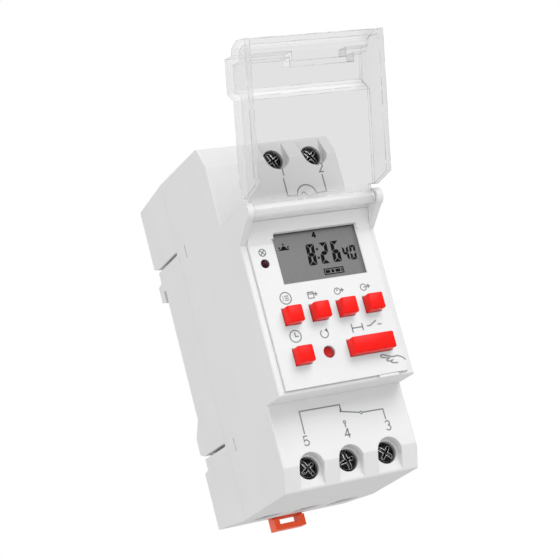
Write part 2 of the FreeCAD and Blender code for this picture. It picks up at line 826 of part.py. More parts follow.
def make_key(name, row, first, last):
    """Cap with broken corners, the flange that stops it and a stem for each switch."""
    (left, right), (low, high) = key_field(row, first, last, "0")
    cap = extruded("cap_" + name, "XZ_Plane", [(left, low), (right, low), (right, high), (left, high)],
                   "panel_depth + key_proud - flange_front", "flange_front - groove_depth")
    front = value(at("panel_depth + key_proud"))
    dress(cap, "Chamfer", "key_corner", lambda edge: straight_along(edge, "y"))
    dress(cap, "Chamfer", "key_bevel", lambda edge: near(extent(edge, "y")[1], front))
    wide_x, wide_z = key_field(row, first, last, "key_flange")
    flange = box("flange_" + name, wide_x, depths("flange_back", "flange_front + 0.01"), wide_z)
    stems = [key_stem("stem_%s_%d" % (name, column), key_centre(row, column))
             for column in range(first, last + 1)]
    node(join("whole_key_" + name, cap, flange, *stems), "key_" + name)


def make_reset_pin(row, column):
    place = key_centre(row, column)
    tip = rod("reset_tip", "y", place, "reset_radius",
              at("panel_depth - reset_sunk"), at("flange_back"))
    collar = rod("reset_collar", "y", place, "reset_radius + key_flange",
                 at("flange_front"), at("flange_back"))
    node(join("reset_pin", tip, collar, key_stem("reset_stem", place)), "key_reset")


def make_keys():
    for name, row, first, last in key_columns():
        if name == "reset":
            make_reset_pin(row, first)
        else:
            make_key(name, row, first, last)


def make_switches():
    switches = []
    for row, names in KEY_ROWS.items():
        for column, _ in enumerate(names):
            x, z = key_centre(row, column)
            name = "switch_%s_%d" % (row, column)
            case = box(name + "_case", around(x, "switch_size / 2"), depths("board_front", "switch_top"),
                       around(z, "switch_size / 2"))
            well = box(name + "_well", around(x, "stem_half + switch_gap"),
                       depths("board_front - 1", "switch_top + 1"), around(z, "stem_half + switch_gap"))
            switches.append(remove(name, case, well))
    group = DOC.addObject("Part::Compound", "switch_group")
    group.Links = switches
    node(group, "key_switches")


def make_boards():
    card = box("display_card", both_sides("board_half"), depths("board_back", "board_front"),
               ("-(board_low)", "hinge_wall_low - board_gap"))
    holes, screws = [], []
    for number, place in enumerate(post_places(), 1):
        holes.append(rod("card_hole_%d" % number, "y", place, "stud_radius + 0.1",
                         at("board_front + 1"), at("board_back - 1")))
        shank = rod("stud_shank_%d" % number, "y", place, "stud_radius",
                    at("panel_back - 1"), at("board_back"))
        head = rod("stud_cap_%d" % number, "y", place, "stud_head",
                   at("board_back"), at("board_back - stud_head"))
        screws.append(join("board_screw_%d" % number, shank, head))
    node(remove("display_card_holed", card, *holes), "display_board")
    group = DOC.addObject("Part::Compound", "board_screw_group")
    group.Links = screws
    node(group, "board_screws")
    power = box("power_card", both_sides("board_half"),
                depths("split_depth - main_thickness", "split_depth"),
                both_sides("cavity_reach - board_play"))
    node(power, "main_board")
    ribbon_x = "relay_centre - relay_width / 2 - ribbon_gap"
    ribbon = box("ribbon", around(ribbon_x, "ribbon_thickness / 2"),
                 depths("split_depth", "board_back"), ("-ribbon_low", "ribbon_width - ribbon_low"))
    node(ribbon, "board_link")


def relay_box(name, half, low, high, near_end, far_end):
    """Box in the relay: half width, depths above the board and offsets along its length."""
    return box(name, around("relay_centre", half),
               depths("split_depth + " + low, "split_depth + " + high), (near_end, far_end))


def relay_rod(name, z, radius, low, high):
    return rod(name, "y", ("relay_centre", z), radius,
               at("split_depth + " + high), at("split_depth + " + low))


def make_relay():
    """Relay with its coil, yoke, hinged armature and the two fixed contacts."""
    outer = relay_box("relay_outer", "relay_width / 2", "0", "relay_height",
                      "-relay_length / 2", "relay_length / 2")
    inner = relay_box("relay_hollow", "relay_inner", "(-1)", "relay_height - relay_wall",
                      "relay_wall - relay_length / 2", "relay_length / 2 - relay_wall")
    node(remove("relay_cap", outer, inner), "relay_case")
    node(relay_box("relay_foot", "relay_inner - relay_gap", "0", "relay_base_height",
                   *both_sides("relay_reach")), "relay_base")
    winding = relay_rod("winding", "-(coil_offset)", "coil_radius", "yoke_sole", "coil_top")
    bore = relay_rod("winding_bore", "-(coil_offset)", "core_radius + coil_play",
                     "yoke_sole - 1", "coil_top + 1")
    node(remove("wound_coil", winding, bore), "relay_coil")
    shaft = relay_rod("core_shaft", "-(coil_offset)", "core_radius", "yoke_sole", "coil_top")
    pole = relay_rod("core_pole", "-(coil_offset)", "pole_radius", "coil_top", "pole_top")
    node(join("core", shaft, pole), "relay_core")
    upright = relay_box("yoke_upright", "yoke_half", "relay_base_height", "armature_low - relay_gap",
                        "-(yoke_offset)", "yoke_thickness - yoke_offset")
    leg = relay_box("yoke_leg", "yoke_half", "relay_base_height", "yoke_sole",
                    "-(yoke_offset)", "core_radius + yoke_foot - coil_offset")
    node(join("yoke", upright, leg), "relay_yoke")
    plate = relay_box("armature_plate", "yoke_half", "armature_low", "armature_high",
                      "-(yoke_offset)", "pole_radius + armature_overlap - coil_offset")
    blade = relay_box("blade_strip", "blade_half", "armature_high", "blade_high",
                      "-(coil_offset)", "contact_offset + blade_overlap")
    button = relay_rod("blade_button", "contact_offset", "contact_radius", "button_low", "button_high")
    node(join("armature", plate, blade, button), "relay_armature")
    make_fixed_contacts()


def make_fixed_contacts():
    start = "contact_offset - contact_radius"
    seat = relay_box("open_seat", "blade_half", "open_high - contact_strip", "open_high",
                     start, "strip_reach")
    leg = relay_box("open_leg", "blade_half", "relay_base_height", "open_high",
                    "strip_reach - contact_strip", "strip_reach")
    node(join("open_contact", seat, leg), "relay_contact_open")
    outer = "strip_reach + contact_spacing"
    top = "closed_low + contact_strip"
    seat = relay_box("closed_seat", "blade_half", "closed_low", top, start, outer)
    leg = relay_box("closed_leg", "blade_half", "relay_base_height", top,
                    outer, outer + " + contact_strip")
    node(join("closed_contact", seat, leg), "relay_contact_closed")


def make_components():
    cell = rod("cell_can", "z", ("cell_gap + cell_radius - opening_half", at("split_depth + cell_radius")),
               "cell_radius", "cell_low", "cell_low + cell_length")
    node(cell, "backup_cell")
    film_start = "film_side_gap - opening_half"
    film_low = "bar_overlap + film_gap - cavity_reach"
    film = box("film_block", (film_start, film_start + " + film_width"),
               depths("split_depth", "split_depth + film_height"),
               (film_low, film_low + " + film_length"))
    node(film, "film_capacitor")
    place = ("storage_side_gap + storage_radius - opening_half", "-storage_low")
    can = rod("storage_can", "y", place, "storage_radius",
              at("split_depth + storage_height"), at("split_depth"))
    node(can, "storage_capacitor")


def terminal_screw(name, side, x):
    """Pan head with a cross recess on a long shank."""
    place = screw_place(side, x)
    head = rod(name + "_head", "y", place, "head_radius", at("head_top"), at("head_seat"))
    shank = rod(name + "_shank", "y", place, "screw_radius", at("head_seat + 0.1"), at("screw_tip"))
    blank = join(name + "_blank", head, shank)
    reach, slim = "head_radius * 0.8", "cross_width / 2"
    span = depths("head_top - cross_depth", "head_top + 1")
    slots = [box(name + "_slot_x", around(place[0], reach), span, around(place[1], slim)),
             box(name + "_slot_z", around(place[0], slim), span, around(place[1], reach))]
    return remove(name, blank, *slots)


def terminal_clamp(name, side, x):
    """Cage round the bar: a threaded plate in front, two sides and the wire plate behind."""
    middle = height(side, "screw_reach")
    block = box(name + "_block", around(x, "clamp_half"), depths("clamp_floor", "clamp_front"),
                around(middle, "clamp_reach"))
    window = box(name + "_window", around(x, "clamp_inner"),
                 depths("clamp_floor + clamp_plate", "bar_front + nut_lift"),
                 around(middle, "clamp_reach + 1"))
    thread = rod(name + "_thread", "y", screw_place(side, x), "screw_radius + shank_gap",
                 at("clamp_front + 1"), at("bar_front"))
    return remove(name, block, window, thread)


def terminal_bar(name, side, x):
    return box(name, around(x, "bar_half"), depths("split_depth", "bar_front"),
               heights(side, "cavity_reach - bar_overlap", "chamber_reach - bar_margin"))


def make_terminals():
    for kind, maker in (("screw", terminal_screw), ("clamp", terminal_clamp), ("bar", terminal_bar)):
        for (number, _, _), item in zip(TERMINALS, per_terminal("made_" + kind, maker)):
            node(item, "terminal_%s_%s" % (kind, number))


def shut(corners):
    """Corners of the shut cover, from depth and height to places about the hinge line."""
    return [("hinge_depth - (%s)" % depth, "(%s) - hinge_height" % level) for depth, level in corners]


def shut_box(name, x, depth_low, depth_high, low, high):
    (front, bottom), (rear, top) = shut([(depth_high, low), (depth_low, high)])
    return box(name, x, (front, rear), (bottom, top))


def cover_outside():
    return [("cover_rim", "hinge_height"), ("cover_depth", "hinge_height"),
            ("cover_depth", "-(bulge_start)"), ("bulge_depth", "-(bulge_full)"),
            ("bulge_depth", "-(bulge_turn)"), ("step_depth", "-(bulge_end)"),
            ("step_depth - 0.3", "-(toe_start)"), ("toe_depth", "-(toe_end - 0.4)"),
            ("cover_rim", "-(toe_end)")]


def cover_inside():
    skin = "cover_depth - cover_wall"
    return [("cover_rim - 1", "hinge_height + 1"), (skin, "hinge_height + 1"),
            (skin, "-(bulge_start + cover_wall * 0.7)"),
            ("bulge_depth - cover_wall", "-(bulge_full + cover_wall * 0.7)"),
            ("bulge_depth - cover_wall", "-(bulge_turn - cover_wall)"),
            ("step_depth - cover_wall", "-(bulge_end - cover_wall)"),
            ("step_depth - 0.3 - cover_wall", "-(toe_start - cover_wall * 0.4)"),
            ("toe_depth - 0.3", "-(toe_end - 0.4 - cover_wall)"),
            ("cover_rim - 1", "-(toe_end - cover_wall)")]


def ear_relief():
    """Cuts that keep the side walls behind the ears' leaning edges and tops."""
    foot = "ear_foot - ear_clearance"
    top = "hinge_height - ear_radius - ear_clearance"
    corners = shut([("ledge_depth", foot), ("hinge_depth", top), ("bulge_depth + 1", top),
                    ("bulge_depth + 1", "hinge_height + 9"), ("ledge_depth - 9", "hinge_height + 9"),
                    ("ledge_depth - 9", foot)])
    depth = "half_width - barrel_half + 1"
    return [extruded("ear_relief_right", "YZ_Plane", corners, depth, "barrel_half"),
            extruded("ear_relief_left", "YZ_Plane", corners, depth, "-(half_width) - 1")]


def thumb_grip():
    """Recess in the bulge's lower flank and the wall that lines it inside."""
    top = "grip_depth - bulge_turn"
    backing = shut_box("grip_backing", ("-(grip_left + cover_wall)", "grip_right + cover_wall"),
                       "step_depth - cover_wall", "bulge_depth - 0.2",
                       "0.2 - bulge_turn", top + " + cover_wall")
    recess = shut_box("grip_recess", ("-grip_left", "grip_right"),
                      "step_depth", "bulge_depth + 1", top + " - 3 * grip_depth", top)
    return backing, recess


def make_cover():
    """Tray drawn shut about the hinge line, then turned to its open place."""
    tray = extruded("tray", "YZ_Plane", shut(cover_outside()), "shell_width")
    hollow = extruded("tray_hollow", "YZ_Plane", shut(cover_inside()), "shell_width - 2 * cover_wall")
    sill = shut_box("end_sill", both_sides("opening_half + 0.2"), "cover_rim - 1",
                    "cover_rim + panel_rise", "-(toe_end + 1)", "-(toe_end - 1.2 * cover_wall)")
    shell = remove("tray_shell", tray, hollow, sill, *ear_relief())
    barrel = rod("barrel", "x", ("0", "0"), "barrel_radius", *both_sides("barrel_half"))
    stub = rod("hinge_stub", "x", ("0", "0"), "pin_radius", *both_sides("half_width - pin_skin - pin_short"))
    web = box("barrel_web", both_sides("barrel_half"), ("-cover_offset", "0"),
              ("-barrel_radius", "barrel_web - barrel_radius"))
    backing, recess = thumb_grip()
    cover = remove("cover_lid", join("cover_solid", shell, barrel, stub, web, backing), recess)
    turn = FreeCAD.Rotation(FreeCAD.Vector(1, 0, 0), -SIZES["cover_open"])
    cover.Placement = FreeCAD.Placement(FreeCAD.Vector(), turn)
    bind(cover, "Placement.Base.y", at("hinge_depth"))
    bind(cover, "Placement.Base.z", "hinge_height")
    node(cover, "cover")


def spring_arm(side, sign):
    """Leaf inside the clip's window, leaning towards its middle."""
    root, tip = "%s(spring_half - spring_arm)" % sign, "%sspring_arm" % sign
    top, end = "-(spring_top - 0.2)", "-(spring_end - spring_tip_gap)"
    corners = [(root, top), (root + " %s spring_arm" % (sign or "+"), top),
               (tip + " %s spring_arm" % (sign or "+"), end), (tip, end)]
    if sign:
        corners.reverse()
    return extruded("spring_arm_" + side, "XZ_Plane", corners,
                    "clip_front - clip_back - 0.6", "clip_back + 0.3 - groove_depth")


def make_clip():
    """Sliding foot: hooked tip behind the rail's lower edge, guide ribs and a pull loop."""
    corners = [("clip_back", "-(foot_end)"), ("foot_front", "-(foot_end)"),
               ("foot_front", "-(foot_start)"), ("clip_front", "-(foot_start)"),
               ("clip_front", "-(clip_tip)"), ("clip_front - clip_bevel", "-(clip_tip)"),
               ("clip_back", "-(clip_tip + clip_nose)")]
    tongue = side_profile("clip_tongue", corners, "2 * clip_half")
    ribs = box("clip_ribs", both_sides("clip_half + clip_rib"), depths("clip_rib_depth", "clip_front"),
               ("-(foot_start - 3.5)", "-(ramp_bottom)"))
    through = depths("-1", "foot_front + 1")
    slot = box("foot_slot", both_sides("foot_slot_half"), through, ("-(foot_end - foot_bar)", "-(foot_start)"))
    window = box("spring_window", both_sides("spring_half"), through, ("-(spring_end)", "-(spring_top)"))
    holed = remove("clip_holed", join("clip_solid", tongue, ribs), slot, window)
    node(join("clip_with_arms", holed, spring_arm("left", "-"), spring_arm("right", "")), "rail_clip")


def check_and_write():
    DOC.recompute()
    for item in DOC.Objects:
        bad = [state for state in item.State if state in ("Invalid", "Error")]
        if bad:
            raise RuntimeError("%s is %s" % (item.Name, bad))
    os.makedirs("parts", exist_ok=True)
    for item in NODES:
        shape = item.Shape
        if shape.isNull() or not shape.isValid():
            raise RuntimeError("%s has no valid shape" % item.Label)
        shape.exportStep("parts/%s.step" % item.Label)
        print("%-22s %2d solid(s) %9.1f mm3" % (item.Label, len(shape.Solids), shape.Volume))


SHEET = make_sheet()
make_housing_base()
make_housing_front()
make_front_panel()
make_display()
make_lamp()
make_keys()
make_switches()
make_boards()
make_relay()
make_components()
make_terminals()
make_cover()
make_clip()
check_and_write()
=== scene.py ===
import math

import bmesh
import bpy
from mathutils import Matrix, Vector


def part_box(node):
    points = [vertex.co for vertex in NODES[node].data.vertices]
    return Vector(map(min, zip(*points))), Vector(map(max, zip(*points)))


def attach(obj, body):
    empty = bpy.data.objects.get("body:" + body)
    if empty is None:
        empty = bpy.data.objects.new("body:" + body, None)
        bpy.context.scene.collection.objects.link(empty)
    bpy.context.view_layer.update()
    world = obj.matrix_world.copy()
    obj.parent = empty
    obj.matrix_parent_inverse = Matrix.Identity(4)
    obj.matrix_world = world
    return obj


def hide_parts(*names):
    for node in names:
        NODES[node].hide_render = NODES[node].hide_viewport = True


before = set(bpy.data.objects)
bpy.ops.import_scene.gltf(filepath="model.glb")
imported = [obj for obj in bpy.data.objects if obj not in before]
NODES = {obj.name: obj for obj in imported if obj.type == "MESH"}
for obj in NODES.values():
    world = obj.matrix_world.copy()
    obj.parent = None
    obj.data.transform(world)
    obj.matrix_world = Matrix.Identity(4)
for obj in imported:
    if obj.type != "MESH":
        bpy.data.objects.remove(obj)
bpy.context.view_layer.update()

bl_info = {
    "name": "Rail Timer Dresser",
    "version": (1, 0, 0),
    "blender": (4, 5, 0),
    "location": "3D View > Sidebar > Rail Timer",
    "description": "Dresses the packed rail timer with its finishes, prints, display, keys and screws",
    "category": "Object",
}

MM = 0.001


def y_of(depth):
    """Y in millimetres of a depth from the rear plane of the case."""
    return 4.0 - depth


SHOULDER = y_of(46.6)
PANEL = y_of(55.2)
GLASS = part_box("lcd_glass")[0].y / MM
# printed marks and display figures start this many millimetres inside the surface that carries them
SINK = 0.005
KEY_NAMES = ["program", "day", "hour", "minute", "clock", "manual"]
SCREW_NUMBERS = "12345"


# ---- colours and nodes

def linear(text):
    """Linear RGBA of an sRGB colour written as hex."""
    channels = [int(text[place:place + 2], 16) / 255 for place in (1, 3, 5)]
    return [c / 12.92 if c <= 0.04045 else ((c + 0.055) / 1.055) ** 2.4 for c in channels] + [1.0]


def hex_property(name, description, colour):
    return bpy.props.StringProperty(name=name, description=description, default=colour, maxlen=7)


def number_property(name, description, default, low, high, **more):
    return bpy.props.FloatProperty(name=name, description=description, default=default,
                                   min=low, max=high, **more)


def add_node(tree, kind, settings=None):
    """Add a node; a setting is a value for a socket or property, or an output to link to a socket."""
    item = tree.nodes.new(kind)
    for name, wanted in (settings or {}).items():
        if isinstance(wanted, bpy.types.NodeSocket):
            tree.links.new(wanted, item.inputs[name])
        elif isinstance(name, int) or name in item.inputs:
            item.inputs[name].default_value = wanted
        else:
            setattr(item, name, wanted)
    return item


def per_mm(size):
    """Texture scale at which a pattern repeats about every so many millimetres."""
    return 1.0 / (size * MM)


def new_material(name):
    """Empty material with its tree and the object coordinates every pattern is laid out in."""
    material = bpy.data.materials.new(name)
    material.use_nodes = True
    tree = material.node_tree
    tree.nodes.clear()
    place = add_node(tree, "ShaderNodeTexCoord").outputs["Object"]
    return material, tree, place


def finish_material(material, tree, shader):
    add_node(tree, "ShaderNodeOutputMaterial", {"Surface": shader.outputs[0]})
    return material


def principled(material, tree, settings):
    """Finish a material with a single shader."""
    return finish_material(material, tree, add_node(tree, "ShaderNodeBsdfPrincipled", settings))


def two_tone(tree, pattern, low, high, start=0.35, end=0.65):
    """Colour that runs between two tones as a pattern rises."""
    ramp = add_node(tree, "ShaderNodeValToRGB", {"Fac": pattern})
    for stop, place, tone in zip(ramp.color_ramp.elements, (start, end), (low, high)):
        stop.position = place
        stop.color = tone
    return ramp.outputs["Color"]


def between(tree, pattern, start, end, low=0.0, high=1.0):
    """Number that runs from low to high while a pattern runs from start to end."""
    limits = {"From Min": start, "From Max": end, "To Min": low, "To Max": high}
    return add_node(tree, "ShaderNodeMapRange", {"Value": pattern, **limits}).outputs["Result"]


def combine(tree, operation, *values):
    """Result of a math operation on plain numbers and other nodes' outputs."""
    return add_node(tree, "ShaderNodeMath", {"operation": operation, **dict(enumerate(values))}).outputs[0]


def alike(tree, one, other):
    """How squarely two directions agree: 1 where they are the same."""
    return add_node(tree, "ShaderNodeVectorMath",
                    {"operation": "DOT_PRODUCT", 0: one, 1: other}).outputs["Value"]


def blend(tree, factor, low, high):
    """Colour between two colours, each given or made by another node."""
    return add_node(tree, "ShaderNodeMix",
                    {"data_type": "RGBA", "Factor": factor, 6: low, 7: high}).outputs[2]


def noise(tree, place, size, detail=2.0, stretch=(1, 1, 1)):
    """Noise whose features are about so many millimetres across."""
    scaled = add_node(tree, "ShaderNodeMapping", {"Scale": stretch, "Vector": place}).outputs["Vector"]
    return add_node(tree, "ShaderNodeTexNoise",
                    {"Scale": per_mm(size), "Detail": detail, "Vector": scaled}).outputs["Fac"]


def softened(tree, radius, samples):
    """Normals rounded along edges within so many millimetres."""
    return add_node(tree, "ShaderNodeBevel", {"Radius": radius * MM, "samples": samples}).outputs["Normal"]


def edges(tree, radius, pattern):
    """Number that follows a pattern within so many millimetres of an edge, and is 0 elsewhere."""
    true = add_node(tree, "ShaderNodeNewGeometry").outputs["Normal"]
    # cosines between the true and the rounded normal where an edge starts and where it is complete
    edge = between(tree, alike(tree, softened(tree, radius, 6), true), 0.995, 0.9)
    return combine(tree, "MULTIPLY", edge, pattern)


def bump(tree, pattern, relief, edge=0.0):
    """Normals of a relief so many millimetres high; edge rounds the corners for the eye."""
    settings = {"Distance": relief * MM, "Strength": 1.0, "Height": pattern}
    if edge:
        settings["Normal"] = softened(tree, edge, 4)
    return add_node(tree, "ShaderNodeBump", settings).outputs["Normal"]


def shade(colour, factor):
    return [min(1.0, channel * factor) for channel in colour[:3]] + [1.0]


def moulded(name, colour, ior, rough, grain, relief, mottle=0.03, edge=0.0, **shader):
    """Moulded plastic: mottled colour, a fine tool grain and a roughness that varies with it."""
    material, tree, place = new_material(name)
    cloud = noise(tree, place, 14.0)
    fine = noise(tree, place, grain, 3.0)
    tone = linear(colour)
    return principled(material, tree, {
        "Base Color": two_tone(tree, cloud, shade(tone, 1 - mottle), shade(tone, 1 + mottle)),
        "Roughness": between(tree, fine, 0.0, 1.0, rough - 0.06, rough + 0.06),
        "Normal": bump(tree, fine, relief, edge), "IOR": ior, **shader})


def plated(name, colour, rough, streak, stretch=(1, 8, 1)):
    """Plated or drawn metal: faint streaks from the tool and a slightly uneven tone."""
    material, tree, place = new_material(name)
    cloud = noise(tree, place, 1.6)
    lines = noise(tree, place, streak, 4.0, stretch)
    tone = linear(colour)
    return principled(material, tree, {
        "Base Color": two_tone(tree, cloud, shade(tone, 0.85), shade(tone, 1.12)),
        "Roughness": between(tree, lines, 0.0, 1.0, rough - 0.08, rough + 0.1),
        "Normal": bump(tree, lines, 0.004), "Metallic": 1.0})


def banded(name, colours, period, axis, ior, rough, sharp=0.04):
    """Two colours in bands of a real pitch along one axis, as in ribbon cable or wound wire."""
    material, tree, place = new_material(name)
    # a wave texture of scale 1 repeats every tau / 20
    bands = add_node(tree, "ShaderNodeTexWave",
                     {"Scale": per_mm(period) * math.tau / 20, "Distortion": 0.0, "wave_type": "BANDS",
                      "bands_direction": axis, "wave_profile": "SIN", "Vector": place}).outputs["Fac"]
    low, high = (linear(colour) for colour in colours)
    return principled(material, tree, {
        "Base Color": two_tone(tree, bands, low, high, 0.5 - sharp, 0.5 + sharp),
        "Normal": bump(tree, bands, 0.05), "IOR": ior, "Roughness": rough})


# ---- meshes

def measured(node):
    """Low and high corner of a CAD node, its middle across and up, and its half width, in millimetres."""
    low, high = (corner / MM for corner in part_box(node))
    return low, high, ((low.x + high.x) / 2, (low.z + high.z) / 2), (high.x - low.x) / 2


def new_piece(name, mesh_data, material, body, smooth=None):
    """Object in the frame's coordinates that rides a body; smooth is the sharpest rounded angle."""
    mesh = bpy.data.meshes.new(name)
    mesh_data.to_mesh(mesh)
    mesh_data.free()
    mesh.materials.append(material)
    if smooth:
        mesh.shade_smooth()
        mesh.set_sharp_from_angle(angle=math.radians(smooth))
    piece = bpy.data.objects.new(name, mesh)
    bpy.context.scene.collection.objects.link(piece)
    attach(piece, body)
    return piece


def dress(names, material):
    """Give CAD nodes a finish in their own slots."""
    for name in names:
        slots = NODES[name].data.materials
        slots.clear()
        slots.append(material)


def on_front(x, z, y):
    """Point in metres from millimetres across, up and in depth."""
    return Vector((x, y, z)) * MM


def around(centre, radius, turn):
    """Point at a radius and an angle in radians round a centre."""
    return (centre[0] + radius * math.cos(turn), centre[1] + radius * math.sin(turn))


def arc(centre, radius, start, end, steps):
    """Points of an arc, angles in degrees from the right-hand side."""
    turns = [math.radians(start + (end - start) * step / steps) for step in range(steps + 1)]
    return [around(centre, radius, turn) for turn in turns]


def rectangle(left, foot, right, top):
    return [(left, foot), (right, foot), (right, top), (left, top)]


def skin(work, rings):
    """Faces between rings of vertices; a ring of one vertex is a tip."""
    for one, two in zip(rings, rings[1:]):
        count = max(len(one), len(two))
        for step in range(count):
            other = (step + 1) % count
            corners = [one[step % len(one)], one[other % len(one)],
                       two[other % len(two)], two[step % len(two)]]
            work.faces.new(list(dict.fromkeys(corners)))


def cap(work, rings):
    work.faces.new(rings[-1])
    work.faces.new(list(reversed(rings[0])))


def ribbon(work, points, width, y, lift, closed=False):
    """Raised line of even width along points given across and up, mitred where it turns."""
    flat = [Vector(point) for point in points]
    count = len(flat)
    rails = []
    for index, point in enumerate(flat):
        before = flat[index - 1] if index or closed else point
        after = flat[(index + 1) % count] if index < count - 1 or closed else point
        first = (point - before) if point != before else (after - point)
        second = (after - point) if point != after else first
        side_a = Vector((-first.y, first.x)).normalized()
        side_b = Vector((-second.y, second.x)).normalized()
        mitre = (side_a + side_b).normalized()
        reach = width / 2 / max(0.4, mitre.dot(side_a))
        rails.append((point + mitre * reach, point - mitre * reach))
    rings = []
    for left, right in rails:
        rings.append([work.verts.new(on_front(p.x, p.y, h))
                      for p, h in ((left, y), (left, y - lift), (right, y - lift), (right, y))])
    skin(work, rings + rings[:1] if closed else rings)
    if not closed:
        cap(work, rings)


def slab(work, corners, y, lift):
    """Flat raised patch with the given corners."""
    rings = [[work.verts.new(on_front(a, b, depth)) for a, b in corners] for depth in (y, y - lift)]
    skin(work, rings)
    cap(work, rings)


# strokes of the plain numerals, each one unit high
NUMERALS = {
    "1": [[(0.08, 0.78), (0.30, 1.0), (0.30, 0.0)]],
    "2": [arc((0.28, 0.74), 0.26, 170, -25, 14) + [(0.02, 0.0), (0.56, 0.0)]],
    "3": [arc((0.27, 0.76), 0.24, 160, -80, 14), arc((0.27, 0.27), 0.27, 85, -160, 14)],
    "4": [[(0.42, 0.0), (0.42, 1.0)], [(0.42, 1.0), (0.0, 0.32), (0.62, 0.32)]],
    "5": [[(0.50, 1.0), (0.10, 1.0), (0.06, 0.50)] + arc((0.28, 0.32), 0.29, 135, -155, 16)],
}


def numeral(work, digit, left, foot, height, width, y, lift):
    for stroke in NUMERALS[digit]:
        ribbon(work, [(left + a * height, foot + b * height) for a, b in stroke], width, y, lift)


# which of the seven bars each figure lights, from the top bar round and then the middle one
SEVEN = {"0": "abcdef", "1": "bc", "2": "abged", "3": "abgcd", "4": "fgbc", "5": "afgcd",
         "6": "afgedc", "7": "abc", "8": "abcdefg", "9": "abcdfg"}


def seven_bars(width, height, bar):
    """Corners of the seven bars of one figure, with pointed joints."""
    half, gap = height / 2, bar * 0.1
    slope = bar * 0.9

    def across(z, up):
        tip = slope if up else -slope
        return [(gap, z), (width - gap, z), (width - slope - gap, z - tip), (slope + gap, z - tip)]

    def upright(x, low, high, inner):
        turn = slope if inner > 0 else -slope
        return [(x, low + gap), (x, high - gap), (x + turn, high - slope - gap),
                (x + turn, low + slope * 0.6 + gap)]

    def mirrored(corners):
        return [(a, height - b) for a, b in corners]

    middle = [(gap * 2, half), (slope * 0.8, half + bar / 2), (width - slope * 0.8, half + bar / 2),
              (width - gap * 2, half), (width - slope * 0.8, half - bar / 2), (slope * 0.8, half - bar / 2)]
    left, right = upright(0.0, half, height, 1), upright(width, half, height, -1)
    return {"a": across(height, True), "d": across(0.0, False), "g": middle,
            "f": left, "e": mirrored(left), "b": right, "c": mirrored(right)}


def figure(work, digit, left, foot, width, height, bar, lean, y, lift):
    for name, corners in seven_bars(width, height, bar).items():
        if name in SEVEN[digit]:
            slab(work, [(left + a + b * lean, foot + b) for a, b in corners], y, lift)


def lathe(work, profile, centre, segments):
    """Turned surface from a profile of radius and depth; a radius of 0 closes it on the axis."""
    rings = []
    for radius, along in profile:
        steps = segments if radius else 1
        rings.append([work.verts.new(on_front(*around(centre, radius, math.tau * step / segments), along))
                      for step in range(steps)])
    skin(work, rings)


def rounded_block(work, low, high, radius, segments=3):
    """Box with all its corners rounded, between two corners in millimetres."""
    made = bmesh.ops.create_cube(work, size=1.0)
    middle = [(a + b) / 2 for a, b in zip(low, high)]
    size = [b - a for a, b in zip(low, high)]
    for vert in made["verts"]:
        vert.co = Vector([(m + c * s) * MM for m, c, s in zip(middle, vert.co, size)])
    sides = list({edge for vert in made["verts"] for edge in vert.link_edges})
    bmesh.ops.bevel(work, geom=sides, offset=radius * MM, segments=segments, affect="EDGES", profile=0.5)


def upright_faces(work):
    bmesh.ops.recalc_face_normals(work, faces=work.faces)
    return work


# ---- sizes and colours a user may change

class RailTimerCase(bpy.types.PropertyGroup):
    colour: hex_property("Case", "Colour of the moulded case and panel", "#E5E5E6")
    grain: number_property("Grain", "Size of the moulded grain, in millimetres", 0.45, 0.1, 2.0)
    edge: number_property("Soft edge", "Radius, in millimetres, that corners seem to have", 0.3, 0.0, 1.0)


class RailTimerPrint(bpy.types.PropertyGroup):
    colour: hex_property("Ink", "Colour of the printed marks", "#84868A")
    line: number_property("Line", "Width of the printed lines, in millimetres", 0.33, 0.1, 0.6)
    numeral: number_property("Numeral height", "Height of the terminal numbers, in millimetres",
                             2.3, 1.0, 4.0)


class RailTimerDisplay(bpy.types.PropertyGroup):
    colour: hex_property("Glass", "Colour of the display's ground", "#6C6D6C")
    ink: hex_property("Figures", "Colour of the figures that show", "#050506")
    figures: bpy.props.StringProperty(name="Time", description="Hour, minute and second figures that show",
                                      default="8:26:40")
    lean: number_property("Lean", "Sideways lean of the figures, per height", 0.06, 0.0, 0.3)


class RailTimerKeys(bpy.types.PropertyGroup):
    colour: hex_property("Keys", "Colour of the push keys", "#F2140B")
    # painted shade: the reset pin's red is darkened to stand in for the shade of its hole
    pin: hex_property("Reset pin", "Colour of the sunken reset pin", "#B8140F")
    rounding: number_property("Rounding", "Corner radius of the keys, in millimetres", 0.42, 0.05, 1.0)
    lamp: hex_property("Lamp", "Colour of the unlit lamp", "#3A0012")


class RailTimerCover(bpy.types.PropertyGroup):
    sole: hex_property("Cover", "Tint of the clear cover's large flat sole", "#F0F0F0")
    # painted dark lines: the cover's edges are tinted darker, standing in for the dark lines a clear edge
    # shows where it bends the light
    edge: hex_property("Cover edges", "Tint of the lines along the clear cover's edges", "#8C8D91")
    wall: hex_property("Cover walls", "Tint of the clear cover's walls", "#FEFEFE")
    rough: number_property("Haze", "Roughness of the polished cover", 0.03, 0.0, 0.5)


class RailTimerMetal(bpy.types.PropertyGroup):
    screw: hex_property("Screws", "Colour of the blackened screws", "#1E1E20")
    worn: hex_property("Worn edges", "Colour of the steel where the black has worn away", "#F2F2EE")
    steel: hex_property("Steel", "Colour of the bright plated steel", "#B9BABD")
    brass: hex_property("Brass", "Colour of the brass bars", "#C9A45A")
    clip: hex_property("Clip", "Colour of the rail clip", "#FF5214")


class RailTimerStage(bpy.types.PropertyGroup):
    floor_drop: bpy.props.FloatProperty(name="Floor", description="How far the floor lies below the origin",
                                        default=0.17, subtype="DISTANCE", unit="LENGTH")
    ambient: number_property("Ambient", "Strength of the even light from all sides", 0.45, 0.0, 3.0)
    key_light: number_property("Key light", "Power of the lamps, as a share of the usual one", 1.0, 0.0, 20.0,
                               subtype="POWER", unit="POWER")


